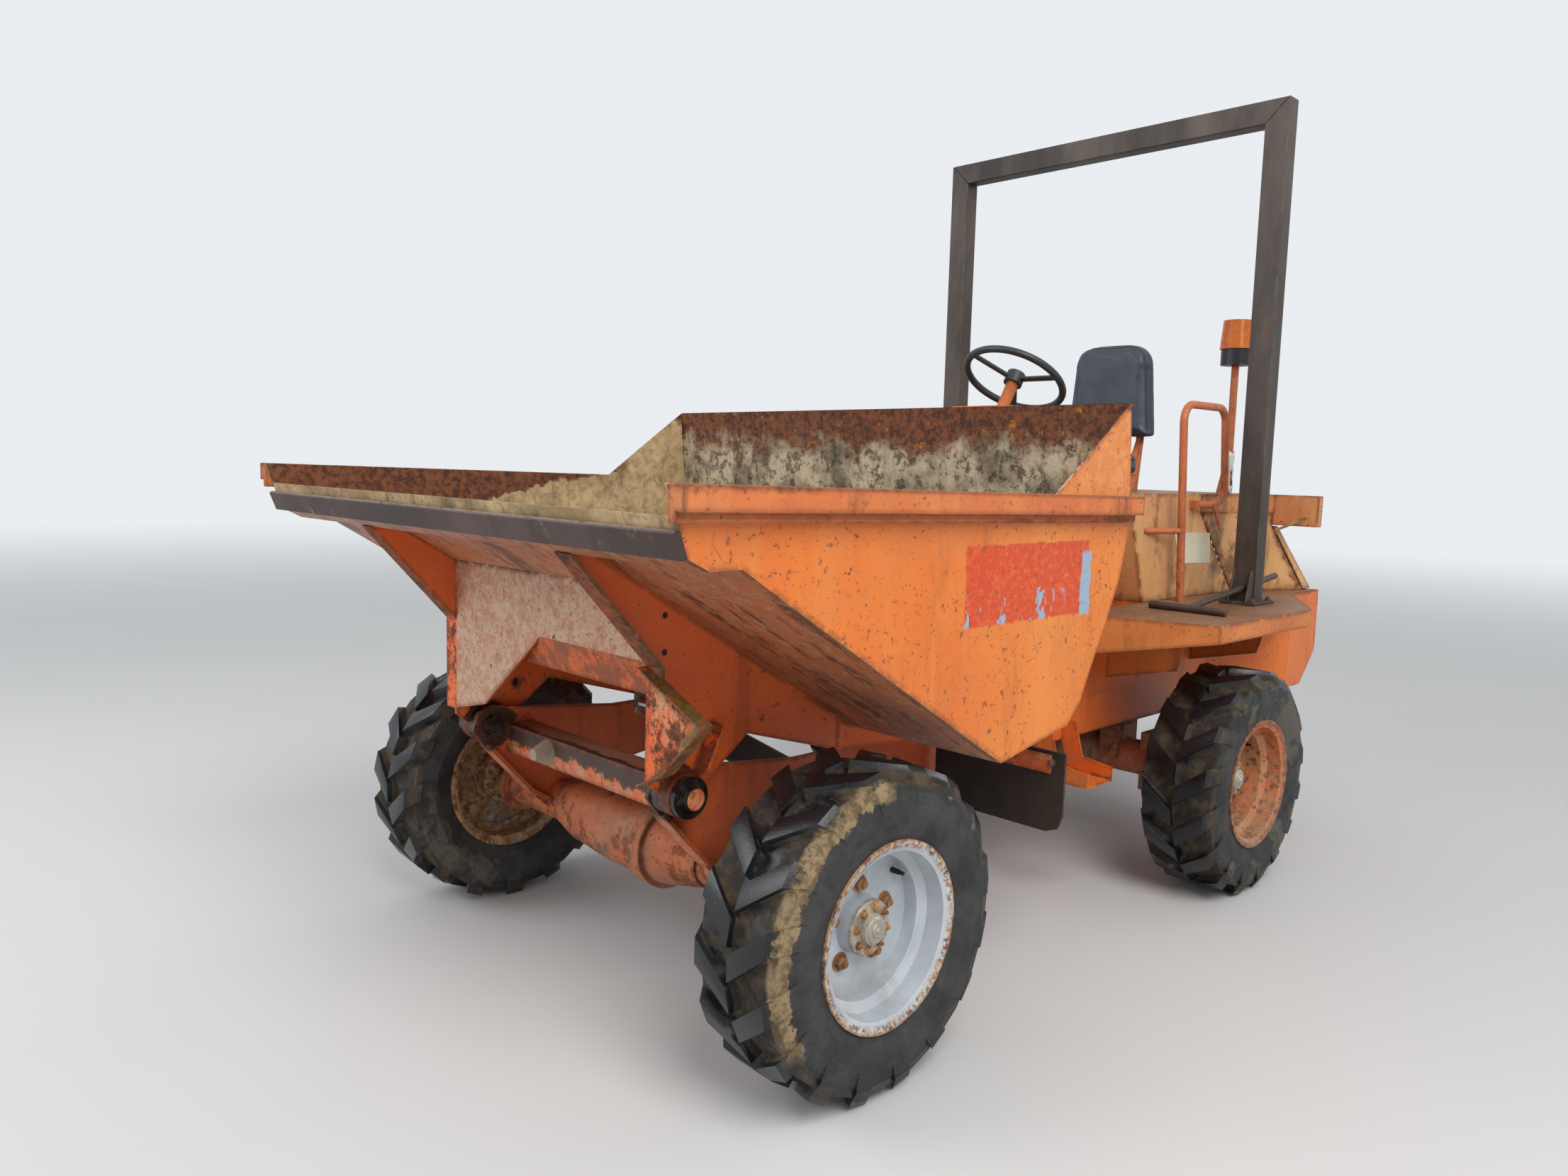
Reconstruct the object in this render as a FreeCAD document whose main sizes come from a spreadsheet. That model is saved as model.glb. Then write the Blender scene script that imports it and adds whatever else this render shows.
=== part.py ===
import FreeCAD, Part
import math
import os
import re
import Sketcher

# Site dumper: rigid chassis, front tipping skip, rear wheel steering.
# +X is forward, towards the skip lip, +Y is the machine's left, +Z is up.
# The origin is on the ground under the middle of the machine.

VECTOR = FreeCAD.Vector
document = FreeCAD.newDocument("SiteDumper")
sheet = document.addObject("Spreadsheet::Sheet", "Sizes")

# Driving dimensions in millimetres and degrees: alias, value.
SIZES = [
    # Wheels and axles
    ("frontAxleX", 1158),
    ("wheelBase", 1886),
    ("tyreRadius", 380),
    ("tyreWidth", 263),
    ("halfTrack", 784),
    ("tyreFacets", 24),
    ("lugHeight", 22),
    ("lugWide", 46),
    ("lugStart", 2),
    ("lugsPerSide", 16),
    ("lugAngle", 38),
    ("carcassGap", 0.3),
    ("rimFlangeRadius", 217),
    ("rimSeatRadius", 196),
    ("rimWellRadius", 172),
    ("rimWide", 214),
    ("rimOffset", 15),
    ("rimThick", 6),
    ("rimCurl", 10),
    ("rimRing", 8),
    ("frontDish", 112),
    ("rearDish", 128),
    ("hubRadius", 84),
    ("hubFaceRadius", 64),
    ("frontHubOut", 48),
    ("rearHubOut", 42),
    ("hubBossRadius", 34),
    ("hubBossOut", 14),
    ("spindleRadius", 36),
    ("spindleGap", 0.05),
    ("spindleDeep", 60),
    ("axleTubeRadius", 62),
    ("axleHalfLength", 612),
    ("casingRadius", 105),
    ("casingHalf", 230),
    ("casingShift", -30),
    ("kingpinY", 600),
    ("kingpinRadius", 22),
    ("knuckleRadius", 48),
    ("yokeGap", 6),
    ("yokeThick", 26),
    ("steerArm", 185),
    ("tieRodRadius", 14),
    # Skip, side view, from the front axle and the ground
    ("skipHalfWidth", 930),
    ("skipWall", 6),
    ("rimFrontX", 665),
    ("rimFrontZ", 1370),
    ("lipX", 617),
    ("lipZ", 1240),
    ("lipBackX", 564),
    ("kneeX", 488),
    ("kneeZ", 1214),
    ("tipX", -344),
    ("tipZ", 717),
    ("heelX", -620),
    ("heelZ", 767),
    ("heelBackX", -674),
    ("heelBackZ", 815),
    ("backLowX", -837),
    ("backLowZ", 1122),
    ("backMidX", -879),
    ("backMidZ", 1269),
    ("backTopX", -850),
    ("backTopZ", 1585),
    ("wingFootX", -520),
    ("rimRearZ", 1346),
    ("rimBarWide", 46),
    ("rimBarHigh", 48),
    ("rimStepWide", 22),
    ("rimStepHigh", 20),
    ("backFlange", 26),
    ("lipBarOut", 16),
    ("lipBarHigh", 50),
    ("lipBarPast", 5),
    # Skip under-frame and hinge
    ("hingeX", 243),
    ("hingeZ", 644),
    ("legClear", 38),
    ("legPlate", 12),
    ("legTopX", 571),
    ("legElbowX", 330),
    ("legElbowZ", 951),
    ("legFlange", 46),
    ("bushRadius", 52),
    ("bushLong", 44),
    ("pinRadius", 30),
    ("pinGap", 0.05),
    ("pinOut", 34),
    ("collarRadius", 50),
    ("backFlangeLowX", 200),
    ("backFlangeLowZ", 692),
    ("backFlangeTopX", 147),
    ("backFlangeTopZ", 802),
    ("strutFootX", 150),
    ("strutFootZ", 662),
    ("strutTopX", 30),
    ("strutTopZ", 753),
    ("keelSeamX", -290),
    ("keelSeamZ", 661),
    ("keelRearX", -598),
    ("keelRearZ", 639),
    ("webHoleX", 140),
    ("webHoleZ", 750),
    ("webHoleRadius", 14),
    ("crossPanelZ", 958),
    ("crossFoldBack", 40),
    ("crossFoldDrop", 86),
    ("crossPlate", 8),
    ("archOut", 433),
    ("archLowIn", 155),
    ("archLowZ", 736),
    ("archFootZ", 700),
    ("trayOut", 218),
    ("trayOutZ", 853),
    ("trayMidOut", 86),
    ("trayMidZ", 722),
    ("trayFootZ", 679),
    ("trayRim", 30),
    # Tipping ram
    ("ramFootX", -750),
    ("ramFootZ", 340),
    ("ramEyeX", -30),
    ("ramEyeZ", 740),
    ("ramTubeRadius", 48),
    ("ramRodRadius", 25),
    ("ramEyeRadius", 36),
    ("ramEyeWide", 50),
    ("ramEyeClear", 8),
    ("ramLugPlate", 14),
    ("ramLugRadius", 44),
    ("ramTubeLong", 660),
    ("ramPinRadius", 20),
    ("ramNeckLong", 72),
    ("ramNeckRadius", 24),
    # Front chassis
    ("railClear", 38),
    ("chassisPlate", 12),
    ("noseRadius", 58),
    ("chassisBackX", -430),
    ("chassisTopZ", 651),
    ("railLowZ", 500),
    ("railWide", 70),
    ("railSheet", 8),
    ("beamHigh", 90),
    ("beamLong", 110),
    ("crossTubeX", 150),
    ("crossTubeZ", 600),
    ("crossTubeSide", 80),
    ("bufferRadius", 36),
    ("bufferLong", 46),
    ("bufferY", -190),
    ("pinionY", 130),
    ("pinionZ", 400),
    ("pinionRadius", 52),
    ("shaftRadius", 30),
    ("gearboxFrontX", 430),
    ("gearboxRearX", 190),
    ("gearboxLowZ", 375),
    ("gearboxHalf", 175),
    # Rear body, from the rear axle
    ("bodyFrontX", 586),
    ("bodyRearX", -1094),
    ("bodyHalf", 450),
    ("bodyRearHalf", 640),
    ("flareFrontX", -514),
    ("flareRearX", -824),
    ("bodyLowZ", 522),
    ("bodyTailZ", 565),
    ("bodySheet", 6),
    ("deckZ", 946),
    ("deckPlate", 6),
    ("deckFlange", 58),
    ("fenderFrontX", 380),
    ("fenderInnerX", 543),
    ("fenderRearX", -330),
    ("fenderHalf", 908),
    ("fenderDrop", 140),
    ("gussetOneX", 236),
    ("gussetTwoX", -380),
    ("gussetOut", 300),
    ("gussetLowOut", 255),
    ("gussetLowZ", 760),
    ("gussetInnerZ", 700),
    ("floorZ", 651),
    # Operator's place
    ("consoleX", 470),
    ("consoleDeep", 130),
    ("consoleHalf", 130),
    ("consoleTopZ", 1630),
    ("columnRadius", 22),
    ("wheelHubX", 226),
    ("wheelHubZ", 1735),
    ("handWheelRadius", 182),
    ("handWheelTube", 13),
    ("columnLean", 32),
    ("hubBossDrop", 20),
    ("wheelBossRadius", 34),
    ("wheelBossHigh", 44),
    ("spokeWide", 22),
    ("spokeThick", 8),
    ("pedalY", 200),
    ("pedalWide", 80),
    ("pedalLong", 100),
    ("pedalZ", 90),
    ("pedalThick", 10),
    ("pedalArm", 16),
    ("seatBackX", -464),
    ("seatTopZ", 1920),
    ("seatBackLift", 150),
    ("seatHalf", 190),
    ("seatTaper", 30),
    ("seatBackThick", 80),
    ("cushionFrontX", -20),
    ("cushionRearX", -380),
    ("cushionZ", 1400),
    ("cushionThick", 85),
    ("strutY", 98),
    ("strutWide", 30),
    ("seatGap", 0.3),
    # Engine hood
    ("hoodFrontX", 150),
    ("hoodFootX", 19),
    ("capZ", 1335),
    ("capFlange", 72),
    ("capSheet", 5),
    ("seamTopX", -385),
    ("seamLowX", -687),
    ("seamGap", 8),
    ("hoodFlareX", -814),
    ("hoodFlareHalf", 548),
    ("hoodTailHalf", 605),
    ("barDeep", 40),
    ("barHalf", 720),
    ("barLowZ", 1214),
    ("tailSheet", 5),
    ("tailGap", 5),
    ("tailReturn", 70),
    ("tailSlotLow", 40),
    ("tailSlotPitch", 32),
    ("tailSlotHigh", 14),
    ("tailSlotHalf", 320),
    ("tailHingeX", 8),
    ("tailHingeZ", 20),
    ("tailHingeRadius", 9),
    ("tailPinRadius", 5),
    ("tailHingeLong", 44),
    ("tailHingeY", 470),
    ("tailLugWide", 14),
    ("engineLong", 560),
    ("engineHalf", 190),
    ("engineLowZ", 598),
    ("engineHigh", 590),
    # Roll-over frame
    ("ropsFrontX", -280),
    ("ropsTube", 82),
    ("ropsDeep", 70),
    ("ropsHalf", 721),
    ("ropsTopZ", 2705),
    ("ropsWall", 5),
    ("footPlate", 12),
    ("footLong", 170),
    ("footWide", 130),
    ("footGusset", 8),
    ("footGussetOut", 32),
    ("footGussetLong", 50),
    ("footGussetHigh", 110),
    ("lockRadius", 11),
    ("lockHandleX", 143),
    ("lockHandleLong", 270),
    ("lockEndX", -550),
    ("lockRise", 89),
    # Handles, beacon, flaps, steps and hitch
    ("handleRadius", 14),
    ("handleOut", 60),
    ("handleFootX", -144),
    ("handleLean", 63),
    ("handleTopZ", 1655),
    ("handleBackX", -406),
    ("handleCurlX", -449),
    ("handleEndX", -307),
    ("handleDrop", 40),
    ("handleBend", 60),
    ("handleStubX", 24),
    ("handleStubRise", 257),
    ("handleLug", 30),
    ("beaconX", -594),
    ("beaconY", 450),
    ("poleRadius", 14),
    ("poleGusset", 90),
    ("poleGussetHigh", 170),
    ("beaconFootZ", 1830),
    ("beaconRadius", 62),
    ("beaconHigh", 170),
    ("flapX", -745),
    ("flapIn", 430),
    ("flapOut", 860),
    ("flapTopZ", 660),
    ("flapLowZ", 438),
    ("flapThick", 8),
    ("stepX", 500),
    ("stepZ", 420),
    ("stepOut", 640),
    ("stepDeep", 150),
    ("hitchZ", 520),
    ("hitchPin", 15),
    ("hitchGap", 60),
    ("hitchPlate", 16),
]

for row, (alias, value) in enumerate(SIZES, start=1):
    cell = "B%d" % row
    sheet.set("A%d" % row, alias)
    sheet.set(cell, str(value))
    sheet.setAlias(cell, alias)
document.recompute()

ALIASES = {alias for alias, value in SIZES}
# Places worked out from the sizes: name, expression.
DERIVED = {
    "chassisY": "(bodyHalf - railClear)",
    "legY": "(bodyHalf - railClear + legClear)",
    "handleY": "(bodyHalf + handleOut)",
    "seatBackLowZ": "(cushionZ + seatBackLift)",
}
PLANE_TURN = {
    "XZ": FreeCAD.Rotation(VECTOR(1, 0, 0), 90),
    "YZ": FreeCAD.Rotation(VECTOR(1, 1, 1), 120),
    "XY": FreeCAD.Rotation(),
}
PLANE_AXIS = {"XZ": "y", "YZ": "x", "XY": "z"}
AXIS_VECTOR = {"x": VECTOR(1, 0, 0), "y": VECTOR(0, 1, 0), "z": VECTOR(0, 0, 1)}
AXIS_TURN = {
    "x": FreeCAD.Rotation(VECTOR(0, 1, 0), 90),
    "y": FreeCAD.Rotation(VECTOR(1, 0, 0), -90),
    "z": FreeCAD.Rotation(),
}
pieces = []


def spelled(text):
    """The expression with each derived name written out in sizes."""
    return re.sub(r"[A-Za-z]\w*", lambda m: DERIVED.get(m[0], m[0]), str(text))


def number(text):
    """The value of an expression of sizes."""
    return float(sheet.evalExpression(spelled(text)))


def cells(text):
    """The expression with each size named as a cell of the sheet."""
    return re.sub(r"[A-Za-z]\w*", lambda m: "Sizes." + m[0] if m[0] in ALIASES else m[0], spelled(text))


def bind(item, **properties):
    """Ties properties to expressions; a double underscore stands for a dot."""
    for name, text in properties.items():
        path = name.replace("__", ".")
        item.setExpression(path, cells(text))


def front(text):
    """A distance ahead of the front axle."""
    return "(frontAxleX + (%s))" % text


def rear(text):
    """A distance ahead of the rear axle."""
    return "(frontAxleX - wheelBase + (%s))" % text


def box(name, x, y, z):
    """A box between the expressions (low, high) along each axis."""
    item = document.addObject("Part::Box", name)
    bind(item, Placement__Base__x=x[0], Placement__Base__y=y[0], Placement__Base__z=z[0])
    bind(item, Length="(%s) - (%s)" % (x[1], x[0]))
    bind(item, Width="(%s) - (%s)" % (y[1], y[0]))
    bind(item, Height="(%s) - (%s)" % (z[1], z[0]))
    return item


def cylinder(name, axis, start, length, radius):
    """A round bar from the point start along an axis."""
    item = document.addObject("Part::Cylinder", name)
    item.Placement = FreeCAD.Placement(VECTOR(), AXIS_TURN[axis])
    bind(item, Placement__Base__x=start[0], Placement__Base__y=start[1], Placement__Base__z=start[2])
    bind(item, Height=length, Radius=radius)
    return item


def outline(name, plane, points, offset="0"):
    """A closed sketch through points given as pairs of expressions."""
    item = document.addObject("Sketcher::SketchObject", name)
    item.Placement = FreeCAD.Placement(VECTOR(), PLANE_TURN[plane])
    bind(item, **{"Placement__Base__" + PLANE_AXIS[plane]: offset})
    corners = [VECTOR(number(a), number(b), 0) for a, b in points]
    count = len(corners)
    lines = [Part.LineSegment(corners[i], corners[(i + 1) % count]) for i in range(count)]
    item.addGeometry(lines, False)
    ties = [Sketcher.Constraint("Coincident", i, 2, (i + 1) % count, 1) for i in range(count)]
    for i, corner in enumerate(corners):
        ties.append(Sketcher.Constraint("DistanceX", -1, 1, i, 1, corner.x))
        ties.append(Sketcher.Constraint("DistanceY", -1, 1, i, 1, corner.y))
    item.addConstraint(ties)
    for i, (a, b) in enumerate(points):
        item.setExpression("Constraints[%d]" % (count + 2 * i), cells(a))
        item.setExpression("Constraints[%d]" % (count + 2 * i + 1), cells(b))
    return item


def plate(name, plane, points, start, end):
    """A plate or prism: an outline drawn out square to its plane."""
    item = document.addObject("Part::Extrusion", name)
    item.Base = outline(name + "_outline", plane, points, start)
    item.DirMode = "Custom"
    item.Dir = AXIS_VECTOR[PLANE_AXIS[plane]]
    item.Solid = True
    bind(item, LengthFwd="(%s) - (%s)" % (end, start))
    return item


def revolved(name, points, x, y, z):
    """A solid turned about the Y axis from pairs of (along the axis, radius)."""
    item = document.addObject("Part::Revolution", name)
    item.Source = outline(name + "_outline", "YZ", points)
    item.Axis = VECTOR(0, 1, 0)
    item.Angle = 360
    item.Solid = True
    bind(item, Placement__Base__x=x, Placement__Base__y=y, Placement__Base__z=z)
    return item


def fuse(name, items):
    item = document.addObject("Part::MultiFuse", name)
    item.Shapes = items
    return item


def cut(name, base, tool):
    item = document.addObject("Part::Cut", name)
    item.Base = base
    item.Tool = tool
    return item


def shared(name, items):
    """What the items have in common."""
    item = document.addObject("Part::MultiCommon", name)
    item.Shapes = items
    return item


def mirrored(name, source):
    """The same piece on the machine's right."""
    item = document.addObject("Part::Mirroring", name)
    item.Source = source
    item.Normal = VECTOR(0, 1, 0)
    return item


def shaped(name, shape):
    """A piece whose shape is worked out from the sheet in this file."""
    item = document.addObject("Part::Feature", name)
    item.Shape = shape
    return item


def keep(label, item):
    """Names a finished sub-part."""
    item.Label = label
    pieces.append(item)
    return item


def both_sides(name, item):
    """A piece and its mirror image as one."""
    return fuse(name + "_pair", [item, mirrored(name + "_mirror", item)])


def tube_path(points, bend):
    """A wire of straight runs joined by round bends."""
    edges = []
    last = points[0]
    for i in range(1, len(points) - 1):
        into = (points[i] - points[i - 1]).normalize()
        away = (points[i + 1] - points[i]).normalize()
        turn = into.getAngle(away)
        back = bend * math.tan(turn / 2)
        begin = points[i] - into * back
        finish = points[i] + away * back
        bisector = (away - into).normalize()
        middle = points[i] + bisector * (bend / math.cos(turn / 2) - bend)
        edges.append(Part.LineSegment(last, begin).toShape())
        edges.append(Part.Arc(begin, middle, finish).toShape())
        last = finish
    edges.append(Part.LineSegment(last, points[-1]).toShape())
    return Part.Wire(edges)


def tube(points, bend, radius):
    """A round bar along a bent path."""
    path = tube_path(points, bend)
    ring = Part.makeCircle(radius, points[0], points[1] - points[0])
    return path.makePipeShell([Part.Wire([ring])], True, True)


def rounded(shape, radius, test):
    """The shape with the edges that pass the test rounded off."""
    return shape.makeFillet(radius, [edge for edge in shape.Edges if test(edge)])


# Skip bowl: a hopper of one side profile, with the side panels carried up as wings.
FLOOR_SLOPE = "((kneeZ - tipZ) / (kneeX - tipX))"


def floor_z(x):
    """Height of the sloping floor's underside at a distance ahead of the front axle."""
    return "(tipZ + ((%s) - tipX) * %s)" % (x, FLOOR_SLOPE)


def rim_z(x):
    """Height of the side rim's top at a distance ahead of the front axle."""
    return "(rimRearZ + (rimFrontZ - rimRearZ) * ((%s) - backTopX) / (rimFrontX - backTopX))" % x


def heel_z(x):
    """Height of the floor's underside behind the tip."""
    return "(tipZ + (heelZ - tipZ) * (tipX - (%s)) / (tipX - heelX))" % x


def build_skip():
    """One bent sheet from the lip to the back's top, between two flat side panels."""
    side = [
        ("rimFrontX", "rimFrontZ"),
        ("lipX", "lipZ"),
        ("lipBackX", "kneeZ"),
        ("kneeX", "kneeZ"),
        ("tipX", "tipZ"),
        ("heelX", "heelZ"),
        ("heelBackX", "heelBackZ"),
        ("backLowX", "backLowZ"),
        ("backMidX", "backMidZ"),
        ("backTopX", "backTopZ"),
        ("wingFootX", rim_z("wingFootX")),
    ]
    outer = [(front(x), z) for x, z in side]
    inside = "(skipHalfWidth - skipWall)"
    panel = plate("skip_side", "XZ", outer, inside, "skipHalfWidth")
    keep("skip_sides", both_sides("skip_sides", panel))
    body = plate("skip_outer", "XZ", outer, "-" + inside, inside)
    far_x = "rimFrontX + 100"
    top_z = "backTopZ + 100"
    # Each inner corner lies one sheet thickness inside the outer one.
    hollow = [
        (far_x, floor_z(far_x) + " + 1.17 * skipWall"),
        (far_x, top_z),
        ("backTopX + skipWall", top_z),
        ("backTopX + skipWall", "backTopZ"),
        ("backMidX + 1.02 * skipWall", "backMidZ"),
        ("backLowX + 1.06 * skipWall", "backLowZ + 0.25 * skipWall"),
        ("heelBackX + 0.8 * skipWall", "heelBackZ + 0.6 * skipWall"),
        ("heelX + 0.3 * skipWall", "heelZ + 1.1 * skipWall"),
        ("tipX", "tipZ + 1.17 * skipWall"),
    ]
    inner = [(front(x), z) for x, z in hollow]
    space = plate("skip_space", "XZ", inner, "-skipHalfWidth", "skipHalfWidth")
    shell = cut("skip_shell", body, space)
    lip_flange = box(
        "skip_back_flange",
        (front("backTopX - backFlange"), front("backTopX + skipWall / 2")),
        ("-" + inside, inside),
        ("backTopZ - skipWall", "backTopZ"),
    )
    lug_in = "(ramEyeWide / 2 + ramEyeClear)"
    lug_points = [
        (front("ramEyeX + 0.8 * ramLugRadius"), floor_z("ramEyeX + 0.8 * ramLugRadius") + " + skipWall / 2"),
        (front("ramEyeX - 2.2 * ramLugRadius"), floor_z("ramEyeX - 2.2 * ramLugRadius") + " + skipWall / 2"),
        (front("ramEyeX - 0.9 * ramLugRadius"), "ramEyeZ - 0.5 * ramLugRadius"),
        (front("ramEyeX"), "ramEyeZ - ramLugRadius"),
        (front("ramEyeX + 0.8 * ramLugRadius"), "ramEyeZ - 0.6 * ramLugRadius"),
    ]
    lug = plate("ram_lug", "XZ", lug_points, lug_in, lug_in + " + ramLugPlate")
    keep("skip_bowl", fuse("skip_bowl_solid", [shell, lip_flange, both_sides("ram_lugs", lug)]))


def build_skip_rims():
    """A rolled bar with a smaller step under it, along the top of each side panel."""
    step_z = "rimBarHigh + rimStepHigh"
    section = [
        ("skipHalfWidth", "0"),
        ("skipHalfWidth + rimBarWide", "0"),
        ("skipHalfWidth + rimBarWide", "-rimBarHigh"),
        ("skipHalfWidth + rimStepWide", "-rimBarHigh"),
        ("skipHalfWidth + rimStepWide", "-(%s) + 6" % step_z),
        ("skipHalfWidth + rimStepWide - 6", "-(%s)" % step_z),
        ("skipHalfWidth", "-(%s)" % step_z),
    ]
    base = outline("skip_rim_section", "YZ", section, front("backTopX - backFlange / 2"))
    bind(base, Placement__Base__z=rim_z("backTopX - backFlange / 2"))
    bar = document.addObject("Part::Extrusion", "skip_rim_bar")
    bar.Base = base
    bar.DirMode = "Custom"
    bar.Dir = VECTOR(1, 0, 0)
    bar.Solid = True
    bind(bar, Dir__z="(rimFrontZ - rimRearZ) / (rimFrontX - backTopX)")
    bind(bar, LengthFwd="rimFrontX - backTopX + backFlange / 2 - 4")
    keep("skip_rims", both_sides("skip_rims", bar))


def build_lip_bar():
    """The angled steel wear bar in front of the lip."""
    lean = "((rimFrontX - lipX) / (rimFrontZ - lipZ))"
    points = [
        (front("lipX"), "lipZ"),
        (front("lipX + lipBarHigh * %s" % lean), "lipZ + lipBarHigh"),
        (front("lipX + lipBarHigh * %s + lipBarOut * 0.7" % lean), "lipZ + lipBarHigh"),
        (front("lipX + lipBarHigh * %s + lipBarOut" % lean), "lipZ + lipBarHigh - 6"),
        (front("lipX + lipBarOut"), "lipZ - 4"),
    ]
    half = "(skipHalfWidth + lipBarPast)"
    keep("lip_bar", plate("lip_bar_solid", "XZ", points, "-" + half, half))


def build_underframe():
    """Two legs with the cross panel and gussets between and beside them, and the keels behind."""
    leg = [
        (front("legTopX"), floor_z("kneeX")),
        (front("legElbowX"), "legElbowZ"),
        (front("legElbowX"), "hingeZ + bushRadius * 0.7"),
        (front("hingeX + bushRadius * 0.8"), "hingeZ"),
        (front("hingeX"), "hingeZ - bushRadius * 0.6"),
        (front("strutFootX"), "strutFootZ"),
        (front("strutTopX"), "strutTopZ"),
        (front("keelSeamX"), "keelSeamZ"),
        (front("keelSeamX"), floor_z("keelSeamX")),
        (front("kneeX"), "kneeZ"),
    ]
    web = plate("leg_web", "XZ", leg, "legY - legPlate", "legY")
    keel_points = [
        (front("keelSeamX"), floor_z("keelSeamX")),
        (front("keelSeamX"), "keelSeamZ"),
        (front("keelRearX + 1.5 * legPlate"), "keelRearZ"),
        (front("keelRearX"), "keelRearZ + 1.5 * legPlate"),
        (front("keelRearX"), heel_z("keelRearX")),
        (front("tipX"), "tipZ"),
    ]
    keel = plate("keel_plate", "XZ", keel_points, "legY - legPlate", "legY")
    keep("skip_keels", both_sides("skip_keels", keel))
    bush = cylinder("leg_bush", "y", (front("hingeX"), "legY - legPlate", "hingeZ"), "bushLong", "bushRadius")
    front_points = [
        (front("legElbowX"), "hingeZ + bushRadius"),
        (front("legElbowX"), "legElbowZ"),
        (front("legTopX"), floor_z("kneeX")),
        (front("legTopX - 1.36 * crossPlate"), floor_z("kneeX")),
        (front("legElbowX - crossPlate"), "legElbowZ + 0.39 * crossPlate"),
        (front("legElbowX - crossPlate"), "hingeZ + bushRadius"),
    ]
    rim = plate("leg_front_flange", "XZ", front_points, "legY - legPlate / 2", "legY + legFlange")
    back_points = [
        (front("backFlangeLowX"), "backFlangeLowZ"),
        (front("backFlangeTopX"), "backFlangeTopZ"),
        (front("backFlangeTopX - crossPlate"), "backFlangeTopZ - crossPlate / 2"),
        (front("backFlangeLowX - crossPlate"), "backFlangeLowZ - crossPlate / 2"),
    ]
    back = plate("leg_back_flange", "XZ", back_points, "legY - legPlate / 2", "legY + legFlange")
    bore = cylinder(
        "leg_bore", "y", (front("hingeX"), "legY - 2 * legPlate", "hingeZ"), "2 * bushLong", "pinRadius + pinGap"
    )
    leg_solid = cut("leg_solid", fuse("leg_parts", [web, bush, rim, back]), bore)
    panel_points = [
        (front("legElbowX"), floor_z("legElbowX")),
        (front("legElbowX"), "crossPanelZ"),
        (front("legElbowX - crossFoldBack"), "crossPanelZ - crossFoldDrop"),
        (front("legElbowX - crossFoldBack - crossPlate"), "crossPanelZ - crossFoldDrop + crossPlate / 2"),
        (front("legElbowX - crossPlate"), "crossPanelZ + crossPlate / 4"),
        (front("legElbowX - crossPlate"), floor_z("legElbowX - crossPlate")),
    ]
    inner_y = "(legY - legPlate)"
    panel = plate("skip_cross_panel", "XZ", panel_points, "-" + inner_y, inner_y)
    plane = (front("legElbowX - crossPlate"), front("legElbowX"))
    arch_points = [
        ("-" + inner_y, "crossPanelZ"),
        ("-%s + archOut" % inner_y, "crossPanelZ"),
        ("-%s + archLowIn" % inner_y, "archLowZ"),
        ("-" + inner_y, "archFootZ"),
    ]
    arch = plate("arch_gusset", "YZ", arch_points, plane[0], plane[1])
    hole = cylinder(
        "leg_web_hole", "y", (front("webHoleX"), "-legY - legPlate", "webHoleZ"), "4 * legPlate", "webHoleRadius"
    )
    legs = cut("skip_legs", both_sides("skip_leg", leg_solid), hole)
    keep("skip_underframe", fuse("skip_underframe_solid", [legs, panel, arch, side_tray(plane)]))


def side_tray(plane):
    """The gusset outside the left leg, with a rim folded forward round its free edges."""
    def points(inset):
        """The gusset's corners, the free ones drawn in by the inset."""
        return [
            ("legY - legPlate / 2", "legElbowZ - 1.1 * (%s)" % inset),
            ("legY + trayOut - 1.75 * (%s)" % inset, "trayOutZ - 0.33 * (%s)" % inset),
            ("legY + trayMidOut - 0.58 * (%s)" % inset, "trayMidZ + 0.83 * (%s)" % inset),
            ("legY - legPlate / 2", "trayFootZ + 1.1 * (%s)" % inset),
        ]

    sheet_plate = plate("tray_sheet", "YZ", points("0"), plane[0], plane[1])
    rim_outer = plate("tray_rim_outer", "YZ", points("0"), plane[0], plane[1] + " + trayRim")
    rim_space = plate("tray_rim_space", "YZ", points("crossPlate / 2"), plane[0] + " - 1", plane[1] + " + trayRim + 1")
    return fuse("side_tray", [sheet_plate, cut("tray_rim", rim_outer, rim_space)])


def build_hinge_pins():
    """The skip's pivot pins, fast in the chassis plates, with their greasy collars."""
    start = "chassisY - chassisPlate - pinOut / 2"
    end = "legY - legPlate + bushLong + pinOut"
    pin = cylinder("hinge_pin", "y", (front("hingeX"), start, "hingeZ"), "%s - (%s)" % (end, start), "pinRadius")
    boss = cylinder(
        "hinge_boss", "y", (front("hingeX"), "chassisY", "hingeZ"), "legY - legPlate - chassisY - 1", "bushRadius"
    )
    collar = cylinder(
        "hinge_collar", "y", (front("hingeX"), "legY - legPlate + bushLong + 1", "hingeZ"),
        "pinOut * 0.45", "collarRadius",
    )
    pin_solid = fuse("hinge_pin_solid", [pin, boss, collar])
    keep("hinge_pins", both_sides("hinge_pins", pin_solid))


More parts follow.
